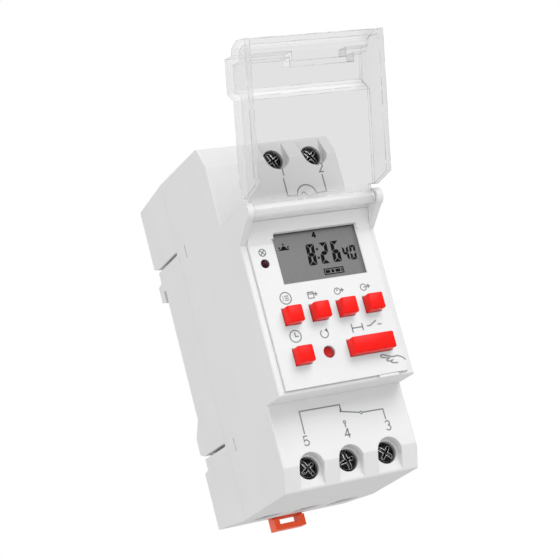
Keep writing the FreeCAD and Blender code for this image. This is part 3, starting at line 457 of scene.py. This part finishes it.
GROUPS = {"rail_timer_case": RailTimerCase, "rail_timer_print": RailTimerPrint,
          "rail_timer_display": RailTimerDisplay, "rail_timer_keys": RailTimerKeys,
          "rail_timer_cover": RailTimerCover, "rail_timer_metal": RailTimerMetal,
          "rail_timer_stage": RailTimerStage}


# ---- one operator for each piece

class RAILTIMER_OT_case(bpy.types.Operator):
    """Finish both halves of the case and the panel"""
    bl_idname = "railtimer.case"
    bl_label = "Case and Panel"

    def execute(self, context):
        settings = context.scene.rail_timer_case
        # ABS, injection moulded in a spark-eroded tool: soft sheen with an even fine grain
        shell = moulded("Spark-eroded moulded ABS", settings.colour, 1.53, 0.52, settings.grain, 0.012,
                        mottle=0.012, edge=settings.edge)
        dress(["housing_base", "housing_front"], shell)
        # ABS moulded against a finer tool face: the panel is a touch smoother than the case
        face = moulded("Fine moulded ABS", settings.colour, 1.53, 0.42, settings.grain * 0.6, 0.006,
                       mottle=0.01, edge=settings.edge * 0.6)
        dress(["front_panel"], face)
        return {"FINISHED"}


class RAILTIMER_OT_print(bpy.types.Operator):
    """Print the terminal numbers and the circuit and key symbols"""
    bl_idname = "railtimer.print"
    bl_label = "Printed Marks"

    # thickness of the ink in millimetres
    LIFT = 0.02

    def execute(self, context):
        settings = context.scene.rail_timer_print
        # pad-printed ink: flat and even, with slightly broken edges
        self.ink = moulded("Pad-printed grey ink", settings.colour, 1.5, 0.6, 0.25, 0.002, mottle=0.06)
        self.line = settings.line
        self.numbers(settings.numeral)
        self.switch_symbol()
        self.supply_symbol()
        self.lamp_symbol()
        self.key_symbols()
        self.reset_symbol()
        self.hand_symbols()
        return {"FINISHED"}

    def strokes(self, work, lines, y=PANEL, scale=1.0, closed=False):
        for points in lines:
            ribbon(work, points, self.line * scale, y + SINK, self.LIFT, closed)

    def ring(self, work, centre, radius, y=PANEL, scale=0.8):
        self.strokes(work, [arc(centre, radius, 0, 360, 32)[:-1]], y, scale, closed=True)

    def piece(self, name, work):
        new_piece(name, upright_faces(work), self.ink, "case_body")

    def numbers(self, height):
        work = bmesh.new()
        places = {"1": (1.45, 33.2), "2": (12.0, 33.1),
                  "3": (11.0, -33.5), "4": (-0.1, -33.5), "5": (-11.1, -33.5)}
        for digit, (left, foot) in places.items():
            numeral(work, digit, left, foot, height, self.line, SHOULDER + SINK, self.LIFT)
        self.piece("terminal_numbers", work)

    def switch_symbol(self):
        """Changeover contact between the three lower terminals."""
        work = bmesh.new()
        self.strokes(work, [[(-10.4, -30.7), (-10.3, -25.2), (0.4, -25.3), (0.4, -26.9)],
                            [(0.0, -26.9), (5.1, -28.0)],
                            [(5.9, -28.1), (11.45, -28.2), (11.5, -30.8)],
                            [(0.57, -29.9), (0.56, -30.9)]], SHOULDER)
        for centre in ((5.5, -28.1), (0.57, -29.6)):
            self.ring(work, centre, 0.3, SHOULDER)
        slab(work, [(0.1, -26.4), (0.7, -26.4), (0.4, -27.1)], SHOULDER + SINK, self.LIFT)
        self.piece("switch_symbol", work)

    def supply_symbol(self):
        """Alternating supply between the two upper terminals."""
        work = bmesh.new()
        wave = [(5.4 + 3.2 * step / 20, 27.65 + 0.75 * math.sin(math.tau * step / 20)) for step in range(21)]
        self.strokes(work, [[(1.8, 32.6), (1.7, 27.8), (4.4, 27.75)],
                            [(9.65, 27.8), (12.5, 27.9), (12.5, 32.5)], wave], SHOULDER)
        self.ring(work, (7.03, 27.65), 2.6, SHOULDER, 1.0)
        self.piece("supply_symbol", work)

    def lamp_symbol(self):
        """Lamp sign: a ring crossed by two lines."""
        work = bmesh.new()
        x, z, radius = -13.2, 12.0, 0.85
        self.ring(work, (x, z), radius)
        reach = radius * math.sqrt(0.5)
        self.strokes(work, [[(x - reach, z - rise), (x + reach, z + rise)] for rise in (reach, -reach)],
                     scale=0.8)
        self.piece("lamp_symbol", work)

    def plus(self, work, x, z):
        self.strokes(work, [[(x - 0.5, z), (x + 0.5, z)], [(x, z - 0.5), (x, z + 0.5)]], scale=0.9)

    def key_symbols(self):
        """List, calendar, hour and minute signs above the upper keys and a clock above the lower one."""
        work = bmesh.new()
        self.list_sign(work, (-10.36, 0.26))
        self.calendar_sign(work, (-3.75, 0.1))
        self.plus(work, -2.4, 0.25)
        self.hand_dial(work, (3.35, 0.1), 0.78, 90)
        self.plus(work, 4.65, 0.25)
        self.hand_dial(work, (10.45, 0.1), 0.78, 0)
        self.plus(work, 11.8, 0.25)
        self.piece("upper_key_symbols", work)
        work = bmesh.new()
        self.ring(work, (-10.41, -9.11), 1.43, scale=0.9)
        self.strokes(work, [[(-10.41, -8.15), (-10.41, -9.2), (-9.55, -9.2)]])
        self.piece("clock_symbol", work)

    def list_sign(self, work, centre):
        self.ring(work, centre, 1.43, scale=0.9)
        x, z = centre
        self.strokes(work, [[(x + start, z + row), (x + end, z + row)] for row in (-0.5, 0.0, 0.5)
                            for start, end in ((-0.25, 0.8), (-0.8, -0.55))], scale=0.8)

    def calendar_sign(self, work, centre):
        x, z = centre
        self.strokes(work, [rectangle(x - 0.75, z - 0.75, x + 0.75, z + 0.7)], scale=0.8, closed=True)
        self.strokes(work, [[(x - 0.75, z + 0.3), (x + 0.75, z + 0.3)],
                            [(x - 0.35, z + 0.65), (x - 0.35, z + 0.95)],
                            [(x + 0.35, z + 0.65), (x + 0.35, z + 0.95)]], scale=0.8)

    def hand_dial(self, work, centre, radius, turn):
        """Small dial whose single hand points up for hours and right for minutes."""
        self.ring(work, centre, radius)
        self.strokes(work, [[centre, around(centre, radius * 0.72, math.radians(turn))]], scale=0.9)

    def reset_symbol(self):
        """Open circle with an arrow head, above the reset pin."""
        work = bmesh.new()
        centre, radius = (-2.9, -9.6), 1.0
        self.strokes(work, [arc(centre, radius, 60, -240, 22)], scale=0.9)
        x, z = around(centre, radius, math.radians(48))
        head = [(x + 0.42, z - 0.38), (x - 0.42, z + 0.02), (x + 0.22, z + 0.62)]
        slab(work, head, PANEL + SINK, self.LIFT)
        self.piece("reset_symbol", work)

    def hand_symbols(self):
        """Sign for working by hand above the wide key, and a pointing hand beside it."""
        work = bmesh.new()
        self.strokes(work, [[(4.6, -10.5), (4.6, -8.3)], [(4.6, -9.4), (7.4, -9.4)],
                            [(7.4, -10.3), (7.4, -8.5)], [(8.6, -9.4), (9.5, -9.4), (11.3, -8.4)],
                            [(11.5, -9.4), (12.6, -9.4)]])
        self.piece("by_hand_symbol", work)
        work = bmesh.new()
        self.strokes(work, [[(9.9, -17.2), (10.4, -16.85), (13.0, -17.8), (14.5, -17.7), (15.7, -18.3),
                             (16.3, -19.0)],
                            [(9.9, -17.2), (10.25, -17.55), (12.1, -17.95), (11.3, -18.35), (11.6, -18.7),
                             (12.9, -18.55), (12.3, -18.95), (12.7, -19.25), (14.1, -19.4)]])
        self.piece("pointing_hand_symbol", work)


class RAILTIMER_OT_display(bpy.types.Operator):
    """Finish the display glass and lay the figures on it"""
    bl_idname = "railtimer.display"
    bl_label = "Display"

    LIFT = 0.015
    # how far the glass reaches behind its window, and how wide the painted shade of the bezel runs along its
    # top and right edges
    MARGIN = 0.8
    TOP_SHADE = 1.5
    SIDE_SHADE = 1.7
    # how steeply that painted shade deepens, and how much of the ground's tone is left where it is deepest
    SHADE_CURVE = 1.6
    SHADED = 0.38

    def execute(self, context):
        settings = context.scene.rail_timer_display
        dress(["lcd_glass"], self.glass(settings.colour))
        # dyed liquid crystal below its polariser: the driven bars are nearly black
        ink = moulded("Liquid crystal bar, driven", settings.ink, 1.5, 0.35, 0.2, 0.0005, mottle=0.1,
                      **{"Specular IOR Level": 0.05})
        self.time(settings, ink)
        self.signs(ink)
        dress(["zebra_upper", "zebra_lower"],
              banded("Zebra strip, silicone", ("#1E1E20", "#C7A7A9"), 0.18, "X", 1.41, 0.6))
        # ABS frame, moulded: plain grey, only the glass touches it
        dress(["lcd_frame"], moulded("Moulded grey ABS", "#7B7D80", 1.53, 0.5, 0.4, 0.01))
        return {"FINISHED"}

    def glass(self, colour):
        """Reflective display: polariser film over glass, a silvery ground with painted shade that darkens it
        below its bezel.
        """
        material, tree, place = new_material("Polarised display glass")
        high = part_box("lcd_glass")[1]
        across = add_node(tree, "ShaderNodeSeparateXYZ", {"Vector": place}).outputs
        # painted shade: the ground darkens towards the top and right edges, standing in for the shadow of the
        # bezel
        painted_edge_shadows = [between(tree, across[axis], edge - (self.MARGIN + reach) * MM, edge - self.MARGIN * MM)
                   for axis, edge, reach in (("Z", high.z, self.TOP_SHADE), ("X", high.x, self.SIDE_SHADE))]
        painted_bezel_shade = combine(tree, "POWER", combine(tree, "MAXIMUM", *painted_edge_shadows), self.SHADE_CURVE)
        sparkle = noise(tree, place, 0.12, 1.0)
        tone = linear(colour)
        ground = two_tone(tree, sparkle, shade(tone, 0.95), shade(tone, 1.05))
        return principled(material, tree, {
            "Base Color": blend(tree, painted_bezel_shade, ground, shade(tone, self.SHADED)),
            "Roughness": between(tree, sparkle, 0.0, 1.0, 0.22, 0.34), "IOR": 1.49})

    def time(self, settings, ink):
        hour, minute, second = settings.figures.split(":")
        work = bmesh.new()
        lean, foot, y = settings.lean, 7.3, GLASS + SINK
        groups = [(hour, [-1.85], 2.2, 5.3, 1.0), (minute, [1.6, 4.75], 2.2, 5.3, 1.0),
                  (second, [7.6, 9.55], 1.6, 3.65, 0.66)]
        for digits, lefts, width, height, bar in groups:
            for digit, left in zip(digits, lefts):
                figure(work, digit, left, foot, width, height, bar, lean, y, self.LIFT)
        for level in (1.4, 3.55):
            left = 0.75 + level * lean
            slab(work, rectangle(left, foot + level, left + 0.55, foot + level + 0.55), y, self.LIFT)
        new_piece("display_time", upright_faces(work), ink, "case_body")

    def signs(self, ink):
        """Morning sun, number of the weekday and a timer bar, in place of words."""
        work = bmesh.new()
        y = GLASS + SINK
        middle, horizon = -7.3, 12.1
        ribbon(work, [(middle - 1.3, horizon), (middle + 1.3, horizon)], 0.36, y, self.LIFT)
        slab(work, arc((middle, horizon + 0.15), 0.7, 0, 180, 12), y, self.LIFT)
        for turn in (25, 90, 155):
            ray = [around((middle, horizon), reach, math.radians(turn)) for reach in (1.05, 1.55)]
            ribbon(work, ray, 0.36, y, self.LIFT)
        numeral(work, "4", 0.95, 14.0, 1.5, 0.36, y, self.LIFT)
        left, foot, width, height = 1.6, 4.6, 5.1, 1.35
        ribbon(work, rectangle(left, foot, left + width, foot + height), 0.26, y, self.LIFT, closed=True)
        for start, end in ((0.3, 1.5), (1.85, 2.6), (2.95, 4.2), (4.5, 4.85)):
            slab(work, rectangle(left + start, foot + 0.3, left + end, foot + height - 0.3), y, self.LIFT)
        new_piece("display_signs", upright_faces(work), ink, "case_body")


class RAILTIMER_OT_lamp(bpy.types.Operator):
    """Build the small domed lamp"""
    bl_idname = "railtimer.lamp"
    bl_label = "Lamp"

    def execute(self, context):
        settings = context.scene.rail_timer_keys
        low, high, centre, radius = measured("led_lamp")
        dome = [(radius * math.sin(math.radians(turn)), low.y + radius * (1 - math.cos(math.radians(turn))))
                for turn in range(0, 91, 10)]
        work = bmesh.new()
        lathe(work, dome + [(radius, high.y), (0.0, high.y)], centre, 32)
        # tinted epoxy, cast: dark while unlit, with the sharp glints of a polished dome
        lens = moulded("Cast tinted epoxy", settings.lamp, 1.54, 0.1, 0.8, 0.001, mottle=0.2,
                       **{"Specular IOR Level": 0.15})
        piece = new_piece("lamp_dome", upright_faces(work), lens, "case_body", 40)
        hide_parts("led_lamp")
        return {"FINISHED"}


class RAILTIMER_OT_keys(bpy.types.Operator):
    """Build the rounded key caps and the sunken reset pin"""
    bl_idname = "railtimer.keys"
    bl_label = "Keys"

    # width of the flange that holds a key behind its hole, and the depths of its two faces
    FLANGE = 0.6
    FLANGE_FRONT = PANEL + 2.05
    FLANGE_BACK = PANEL + 2.9
    # half width of the stems, and where they stand from a key's left edge and from each other
    STEM = 0.9
    STEM_PLACE = 2.025
    STEM_PITCH = 7.2

    def execute(self, context):
        settings = context.scene.rail_timer_keys
        # ABS moulded in a polished tool: bright, evenly coloured, with soft highlights along its edges
        self.red = moulded("Polished red ABS", settings.colour, 1.53, 0.3, 0.5, 0.004, mottle=0.015,
                           **{"Specular IOR Level": 0.15, "Subsurface Weight": 0.5,
                              "Subsurface Radius": (1.0, 0.15, 0.1), "Subsurface Scale": 0.0015})
        for name in KEY_NAMES:
            self.key(name, settings.rounding)
        self.pin(settings.pin)
        return {"FINISHED"}

    def key(self, name, rounding):
        low, high, (_, z), _ = measured("key_" + name)
        inset, back, stem = self.FLANGE, self.FLANGE_BACK, self.STEM
        work = bmesh.new()
        rounded_block(work, (low.x + inset, low.y, low.z + inset),
                      (high.x - inset, back - 0.2, high.z - inset), rounding)
        rounded_block(work, (low.x, self.FLANGE_FRONT, low.z), (high.x, back, high.z), 0.1, 1)
        for column in range(2 if name == "manual" else 1):
            x = low.x + inset + self.STEM_PLACE + column * self.STEM_PITCH
            rounded_block(work, (x - stem, back - 0.3, z - stem), (x + stem, high.y, z + stem), 0.1, 1)
        body = "key_%s_body" % name
        piece = new_piece("cap_" + name, upright_faces(work), self.red, body, 35)
        # the keys throw no red light on the panel, as in the photo
        piece.visible_diffuse = False
        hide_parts("key_" + name)

    def pin(self, colour):
        low, high, centre, wide = measured("key_reset")
        slim, front, back = wide - self.FLANGE, self.FLANGE_FRONT, self.FLANGE_BACK
        work = bmesh.new()
        profile = [(0.0, low.y + 0.12), (slim * 0.45, low.y + 0.06), (slim - 0.25, low.y),
                   (slim, low.y + 0.25), (slim, front), (wide, front), (wide, back),
                   (self.STEM, back), (self.STEM, high.y), (0.0, high.y)]
        lathe(work, profile, centre, 40)
        # the same red ABS, its colour darkened as painted shade for the shade of its hole
        darker = moulded("Polished red ABS with painted shade", colour, 1.53, 0.34, 0.5, 0.004, mottle=0.02,
                         **{"Specular IOR Level": 0.15})
        piece = new_piece("reset_pin", upright_faces(work), darker, "reset_body", 35)
        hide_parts("key_reset")


class RAILTIMER_OT_cover(bpy.types.Operator):
    """Finish the clear hinged cover"""
    bl_idname = "railtimer.cover"
    bl_label = "Clear Cover"

    # direction that the large flat sole faces, and how squarely a surface has to face it to be greyed
    SOLE = (0.0, 0.906, 0.423)
    SQUARELY = (0.9, 1.0)
    # how fast the surface whitens towards a flat angle
    WHITENING = 3.0
    # widths in millimetres of the painted dark lines and of the painted glints along edges, and the values of
    # their
    # broken patterns between which each fades in
    EDGE = 0.3
    EDGE_FADE = (0.25, 0.62)
    GLINT = 0.45
    GLINT_FADE = (0.5, 0.58, 0.0, 0.9)
    # where across the right wall turns grey as painted shade, where the left wall whitens as a painted
    # highlight and the barrel whitens as painted light that offsets the shadow it casts behind it, and how
    # much
    PAINTED_SHADE_SIDE = (14.0 * MM, 17.0 * MM)
    PAINTED_HIGHLIGHT_SIDE = (-15.0 * MM, -17.0 * MM, 0.0, 0.3)
    PAINTED_LIGHT_BARREL = (24.0 * MM, 21.5 * MM, 0.0, 0.55)

    def execute(self, context):
        settings = context.scene.rail_timer_cover
        material, tree, place = new_material("Polished clear polycarbonate")
        # polycarbonate, moulded in a polished tool: light is drawn going straight through it; the sole is a
        # little greyer than the bright walls, and the surface whitens at a flat angle and has faint waves
        waves = noise(tree, place, 9.0, 1.0, (1, 1, 0.4))
        normal = add_node(tree, "ShaderNodeTexCoord").outputs["Normal"]
        sole = between(tree, combine(tree, "ABSOLUTE", alike(tree, normal, self.SOLE)), *self.SQUARELY)
        across = add_node(tree, "ShaderNodeSeparateXYZ", {"Vector": place}).outputs
        # painted shade: the right wall takes the sole's grey tint by its place across the cover
        grey = combine(tree, "MAXIMUM", sole, between(tree, across["X"], *self.PAINTED_SHADE_SIDE))
        tint = blend(tree, grey, linear(settings.wall), linear(settings.sole))
        # painted dark lines along the edges, in place of the dark edges that bent light draws in clear
        # plastic
        lines = between(tree, edges(tree, self.EDGE, noise(tree, place, 5.0, 3.0)), *self.EDGE_FADE)
        painted_outlined_tint = blend(tree, lines, tint, linear(settings.edge))
        through = add_node(tree, "ShaderNodeBsdfTransparent", {"Color": painted_outlined_tint})
        rounded = bump(tree, waves, 0.02, 0.25)
        gloss = add_node(tree, "ShaderNodeBsdfPrincipled", {"Base Color": (0.9, 0.9, 0.9, 1), "IOR": 1.585,
                                                            "Roughness": settings.rough, "Normal": rounded})
        grazing = add_node(tree, "ShaderNodeLayerWeight", {"Normal": rounded}).outputs["Facing"]
        flat = combine(tree, "POWER", grazing, self.WHITENING)
        # painted light: the left wall and the barrel are mixed towards lit white plastic by their place, the
        # left wall as a painted highlight and the barrel to offset the shadow it casts on the case behind it
        painted_milkiness = combine(tree, "MAXIMUM", between(tree, across["X"], *self.PAINTED_HIGHLIGHT_SIDE),
                        between(tree, across["Z"], *self.PAINTED_LIGHT_BARREL))
        # painted glints: broken stretches along the edges are mixed towards lit white plastic
        glints = between(tree, edges(tree, self.GLINT, noise(tree, place, 3.0, 3.0)), *self.GLINT_FADE)
        share = combine(tree, "MAXIMUM", flat, combine(tree, "MAXIMUM", painted_milkiness, glints))
        mixed = add_node(tree, "ShaderNodeMixShader", {0: share, 1: through.outputs[0], 2: gloss.outputs[0]})
        dress(["cover"], finish_material(material, tree, mixed))
        return {"FINISHED"}


class RAILTIMER_OT_screws(bpy.types.Operator):
    """Build the terminal screws and finish the clamps and bars"""
    bl_idname = "railtimer.screws"
    bl_label = "Terminals"

    # pitch of the thread, and rows of vertices to each turn of it
    PITCH = 0.7
    ROWS = 6
    # width of the worn edges, and the values of their broken pattern between which steel shows
    WEAR = 0.22
    WEAR_FADE = (0.16, 0.3)
    # degrees by which each screw's slot stands away from level
    TURNS = {"1": 64, "2": 50, "3": 42, "4": 76, "5": 57}

    def execute(self, context):
        settings = context.scene.rail_timer_metal
        # steel, cold headed and blackened: the black has worn to bright steel along the edges of the recess
        dark = self.blackened(settings)
        for number in SCREW_NUMBERS:
            self.screw(number, dark)
        # steel strip, bent and zinc plated: satin with a cool cast
        dress(["terminal_clamp_" + number for number in SCREW_NUMBERS],
              plated("Zinc plated bent steel", settings.steel, 0.38, 0.3))
        # brass strip, punched: fine rolling lines along its length
        dress(["terminal_bar_" + number for number in SCREW_NUMBERS],
              plated("Punched brass strip", settings.brass, 0.3, 0.2, (1, 1, 0.1)))
        return {"FINISHED"}

    def blackened(self, settings):
        material, tree, place = new_material("Blackened cold-headed steel")
        patches = noise(tree, place, 0.7, 3.0)
        worn = edges(tree, self.WEAR, patches)
        return principled(material, tree, {
            "Base Color": two_tone(tree, worn, linear(settings.screw), linear(settings.worn),
                                   *self.WEAR_FADE),
            "Roughness": between(tree, patches, 0.0, 1.0, 0.2, 0.42),
            "Normal": bump(tree, patches, 0.02, 0.06), "Metallic": 1.0})

    def screw(self, number, metal):
        low, high, centre, radius = measured("terminal_screw_" + number)
        neck = low.y + 2.5
        work = bmesh.new()
        profile = [(0.0, low.y + 0.02), (radius * 0.62, low.y + 0.1), (radius * 0.86, low.y + 0.4),
                   (radius * 0.97, low.y + 0.85), (radius, low.y + 1.3), (radius, neck), (2.0, neck)]
        lathe(work, profile, centre, 48)
        self.thread(work, centre, neck, high.y)
        upright_faces(work)
        head = new_piece("screw_%s_turned" % number, work, metal, "screw_%s_body" % number, 30)
        self.cut(head, self.cross(low.y, centre, radius, self.TURNS[number]))
        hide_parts("terminal_screw_" + number)

    def thread(self, work, centre, start, end):
        """Rolled thread: the radius follows the helix between its root and its crest."""
        segments, crest, root = 24, 2.0, 1.72
        rows = int((end - start) / self.PITCH * self.ROWS)
        rings = []
        for row in range(rows + 1):
            along = start + (end - start) * row / rows
            # the thread grows over its first millimetre and fades over about its last half
            fade = max(0.0, min(1.0, along - start, (end - along) / 0.6 + 0.2))
            line = []
            for step in range(segments):
                ridge = abs(2 * ((along / self.PITCH + step / segments) % 1.0) - 1)
                radius = crest - (crest - root) * ridge * fade
                spot = around(centre, radius, math.tau * step / segments)
                line.append(work.verts.new(on_front(*spot, along)))
            rings.append(line)
        skin(work, rings)
        cap(work, rings)

    def cross(self, front, centre, radius, angle):
        """Cutter for a cross recess crossed by one wide slot, tapering towards its floor."""
        work = bmesh.new()
        for reach, half, depth, turn in ((0.78, 0.38, 1.15, 0), (0.78, 0.38, 1.15, 90), (1.05, 0.42, 0.8, 0)):
            self.taper(work, front, centre, radius * reach, half, depth, turn + angle)
        return work

    def taper(self, work, front, centre, reach, half, depth, turn):
        spin = Matrix.Rotation(math.radians(turn), 3, "Y")
        rings = []
        for level, shrink in ((-0.5, 1.05), (depth, 0.72)):
            middle = Vector((centre[0], front + level, centre[1]))
            flat = [spin @ Vector((a * reach * shrink, 0, b * half * shrink))
                    for a, b in rectangle(-1, -1, 1, 1)]
            rings.append([work.verts.new((corner + middle) * MM) for corner in flat])
        top, floor = rings
        cap(work, [floor, top])
        for step in range(4):
            other = (step + 1) % 4
            work.faces.new((top[step], floor[step], floor[other], top[other]))

    def cut(self, piece, cutter_mesh):
        """Cut a shape out of a piece and keep the result in its mesh."""
        mesh = bpy.data.meshes.new("cutter")
        upright_faces(cutter_mesh).to_mesh(mesh)
        cutter_mesh.free()
        cutter = bpy.data.objects.new("cutter", mesh)
        bpy.context.scene.collection.objects.link(cutter)
        change = piece.modifiers.new("recess", "BOOLEAN")
        change.operation, change.object, change.solver = "DIFFERENCE", cutter, "EXACT"
        change.use_self = True
        graph = bpy.context.evaluated_depsgraph_get()
        graph.update()
        shaped = bpy.data.meshes.new_from_object(piece.evaluated_get(graph))
        piece.modifiers.clear()
        piece.data = shaped
        bpy.data.objects.remove(cutter)


class RAILTIMER_OT_clip(bpy.types.Operator):
    """Finish the sliding rail clip"""
    bl_idname = "railtimer.clip"
    bl_label = "Rail Clip"

    def execute(self, context):
        settings = context.scene.rail_timer_metal
        # nylon 66, moulded: waxy sheen, colour slightly cloudy
        glow = {"Subsurface Weight": 0.1, "Subsurface Radius": (1.0, 0.3, 0.1), "Subsurface Scale": 0.001}
        dress(["rail_clip"], moulded("Moulded orange nylon", settings.clip, 1.53, 0.4, 0.6, 0.01,
                                     mottle=0.05, edge=0.25, **glow))
        return {"FINISHED"}


class RAILTIMER_OT_boards(bpy.types.Operator):
    """Finish the circuit boards and what is soldered to them"""
    bl_idname = "railtimer.boards"
    bl_label = "Boards"

    def execute(self, context):
        dress(["display_board", "main_board"], self.laminate())
        dress(["board_link"], banded("Ribbon cable, PVC", ("#6E7073", "#A9ABAE"), 1.27, "Z", 1.53, 0.45))
        # PBT switch cases, moulded black: dull, with a faint grain
        dress(["key_switches"], moulded("Moulded black PBT", "#1B1B1D", 1.55, 0.45, 0.4, 0.008, mottle=0.1))
        # steel, zinc plated: small fixing screws
        dress(["board_screws"], plated("Bright zinc plated steel", "#B4B6BA", 0.3, 0.2))
        # shrunk PVC sleeve over a steel can: glossy and a little wavy
        dress(["backup_cell"],
              moulded("Shrunk green PVC sleeve", "#2F7A46", 1.53, 0.22, 2.0, 0.03, mottle=0.06))
        # epoxy, potted in a box: glossy yellow
        dress(["film_capacitor"],
              moulded("Potted yellow epoxy", "#D8A526", 1.55, 0.25, 1.5, 0.02, mottle=0.05))
        # printed sleeve over an aluminium can
        dress(["storage_capacitor"],
              moulded("Shrunk black PVC sleeve", "#24262B", 1.53, 0.22, 2.0, 0.03, mottle=0.1))
        return {"FINISHED"}

    def laminate(self):
        """Glass-epoxy laminate, solder masked: green lacquer, lighter where copper tracks run below it."""
        material, tree, place = new_material("Solder-masked glass epoxy")
        tracks = add_node(tree, "ShaderNodeTexBrick",
                          {"Scale": 1.0, "Brick Width": 5.0 * MM, "Row Height": 2.54 * MM,
                           "Mortar Size": 0.35 * MM, "Color1": linear("#145A33"),
                           "Color2": linear("#11502D"), "Mortar": linear("#2C7A4B"), "Vector": place})
        weave = noise(tree, place, 0.5, 2.0)
        return principled(material, tree, {
            "Base Color": tracks.outputs["Color"], "Roughness": between(tree, weave, 0.0, 1.0, 0.25, 0.4),
            "Normal": bump(tree, weave, 0.01), "IOR": 1.55})


class RAILTIMER_OT_relay(bpy.types.Operator):
    """Finish the relay's parts"""
    bl_idname = "railtimer.relay"
    bl_label = "Relay"

    def execute(self, context):
        settings = context.scene.rail_timer_metal
        dress(["relay_case"],
              moulded("Moulded black relay PBT", "#202124", 1.55, 0.35, 0.4, 0.006, mottle=0.08))
        dress(["relay_base"], moulded("Moulded grey relay PBT", "#5B5D60", 1.55, 0.45, 0.4, 0.008))
        # enamelled copper wire, wound side by side: each turn shows as a ridge
        dress(["relay_coil"],
              banded("Wound enamelled copper", ("#7A3212", "#D9743A"), 0.3, "Y", 1.5, 0.3, 0.3))
        dress(["relay_core", "relay_yoke"], plated("Nickel plated soft iron", settings.steel, 0.35, 0.3))
        dress(["relay_armature", "relay_contact_open", "relay_contact_closed"],
              plated("Silver plated bronze strip", "#CDB98A", 0.25, 0.2, (1, 1, 0.1)))
        return {"FINISHED"}


class RAILTIMER_OT_stage(bpy.types.Operator):
    """Lay the floor, hang the lamps and set the camera"""
    bl_idname = "railtimer.stage"
    bl_label = "Stage"

    # focal length and width of the photograph in pixels, and the sensor width in millimetres
    LENS_PIXELS = 1737.07
    PICTURE = 560.0
    SENSOR = 36.0

    def execute(self, context):
        settings = context.scene.rail_timer_stage
        self.world(context.scene, settings.ambient)
        self.floor(settings.floor_drop)
        # large soft lamp above and to the right of the camera, and a weaker one from the left
        self.lamp("key_softbox", (0.5, -1.5, 1.1), 1.4, settings.key_light * 21.0)
        self.lamp("side_softbox", (-1.7, -0.5, 0.1), 1.2, settings.key_light * 11.5)
        self.camera(context.scene)
        context.scene.view_settings.view_transform = "Standard"
        return {"FINISHED"}

    def world(self, scene, ambient):
        """Even light on the object, and plain white for the camera, in gloss and through glass."""
        world = bpy.data.worlds.new("pale studio")
        world.use_nodes = True
        tree = world.node_tree
        tree.nodes.clear()
        path = add_node(tree, "ShaderNodeLightPath").outputs
        through = combine(tree, "MAXIMUM", path["Is Transmission Ray"], path["Is Glossy Ray"])
        seen = combine(tree, "MAXIMUM", path["Is Camera Ray"], through)
        light, white = (add_node(tree, "ShaderNodeBackground", {"Color": (1, 1, 1, 1), "Strength": strength})
                        for strength in (ambient, 1.0))
        mixed = add_node(tree, "ShaderNodeMixShader", {"Fac": seen, 1: light.outputs[0], 2: white.outputs[0]})
        add_node(tree, "ShaderNodeOutputWorld", {"Surface": mixed.outputs[0]})
        scene.world = world

    def floor(self, drop):
        work = bmesh.new()
        for a, b in rectangle(-3, -3, 3, 3):
            work.verts.new((a, b, -drop))
        work.faces.new(work.verts)
        mesh = bpy.data.meshes.new("floor")
        work.to_mesh(mesh)
        work.free()
        card = moulded("Matt white studio card", "#F2F2F1", 1.45, 0.8, 2.0, 0.02, mottle=0.005)
        mesh.materials.append(card)
        floor = bpy.data.objects.new("floor", mesh)
        bpy.context.scene.collection.objects.link(floor)

    def lamp(self, name, place, size, power):
        light = bpy.data.lights.new(name, "AREA")
        light.shape, light.size, light.energy = "DISK", size, power
        lamp = bpy.data.objects.new(name, light)
        lamp.location = place
        lamp.rotation_euler = (Vector((0, -0.02, 0)) - Vector(place)).to_track_quat("-Z", "Y").to_euler()
        bpy.context.scene.collection.objects.link(lamp)

    def camera(self, scene):
        """Camera where the photograph was taken from, tilted as it was."""
        data = bpy.data.cameras.new("camera")
        data.sensor_width = self.SENSOR
        data.lens = self.LENS_PIXELS * self.SENSOR / self.PICTURE
        data.clip_start = 0.01
        camera = bpy.data.objects.new("camera", data)
        camera.location = (-0.18700, -0.40601, -0.08906)
        camera.rotation_euler = [math.radians(angle) for angle in (103.7773, 14.4812, -22.9334)]
        scene.collection.objects.link(camera)
        scene.camera = camera


OPERATORS = [RAILTIMER_OT_case, RAILTIMER_OT_print, RAILTIMER_OT_display, RAILTIMER_OT_lamp,
             RAILTIMER_OT_keys, RAILTIMER_OT_cover, RAILTIMER_OT_screws, RAILTIMER_OT_clip,
             RAILTIMER_OT_boards, RAILTIMER_OT_relay, RAILTIMER_OT_stage]


class RAILTIMER_PT_sidebar(bpy.types.Panel):
    """Steps that dress the timer, in order"""
    bl_idname = "RAILTIMER_PT_sidebar"
    bl_label = "Rail Timer"
    bl_space_type = "VIEW_3D"
    bl_region_type = "UI"
    bl_category = "Rail Timer"

    def draw(self, context):
        for name, group in GROUPS.items():
            column = self.layout.column(align=True)
            for key in group.__annotations__:
                column.prop(getattr(context.scene, name), key)
        for operator in OPERATORS:
            self.layout.operator(operator.bl_idname)


def register():
    for cls in [*GROUPS.values(), *OPERATORS, RAILTIMER_PT_sidebar]:
        bpy.utils.register_class(cls)
    for name, group in GROUPS.items():
        setattr(bpy.types.Scene, name, bpy.props.PointerProperty(type=group))


def unregister():
    for name in GROUPS:
        delattr(bpy.types.Scene, name)
    for cls in reversed([*GROUPS.values(), *OPERATORS, RAILTIMER_PT_sidebar]):
        bpy.utils.unregister_class(cls)


def main():
    register()
    for operator in OPERATORS:
        family, name = operator.bl_idname.split(".")
        getattr(getattr(bpy.ops, family), name)()


if __name__ == "__main__":
    main()
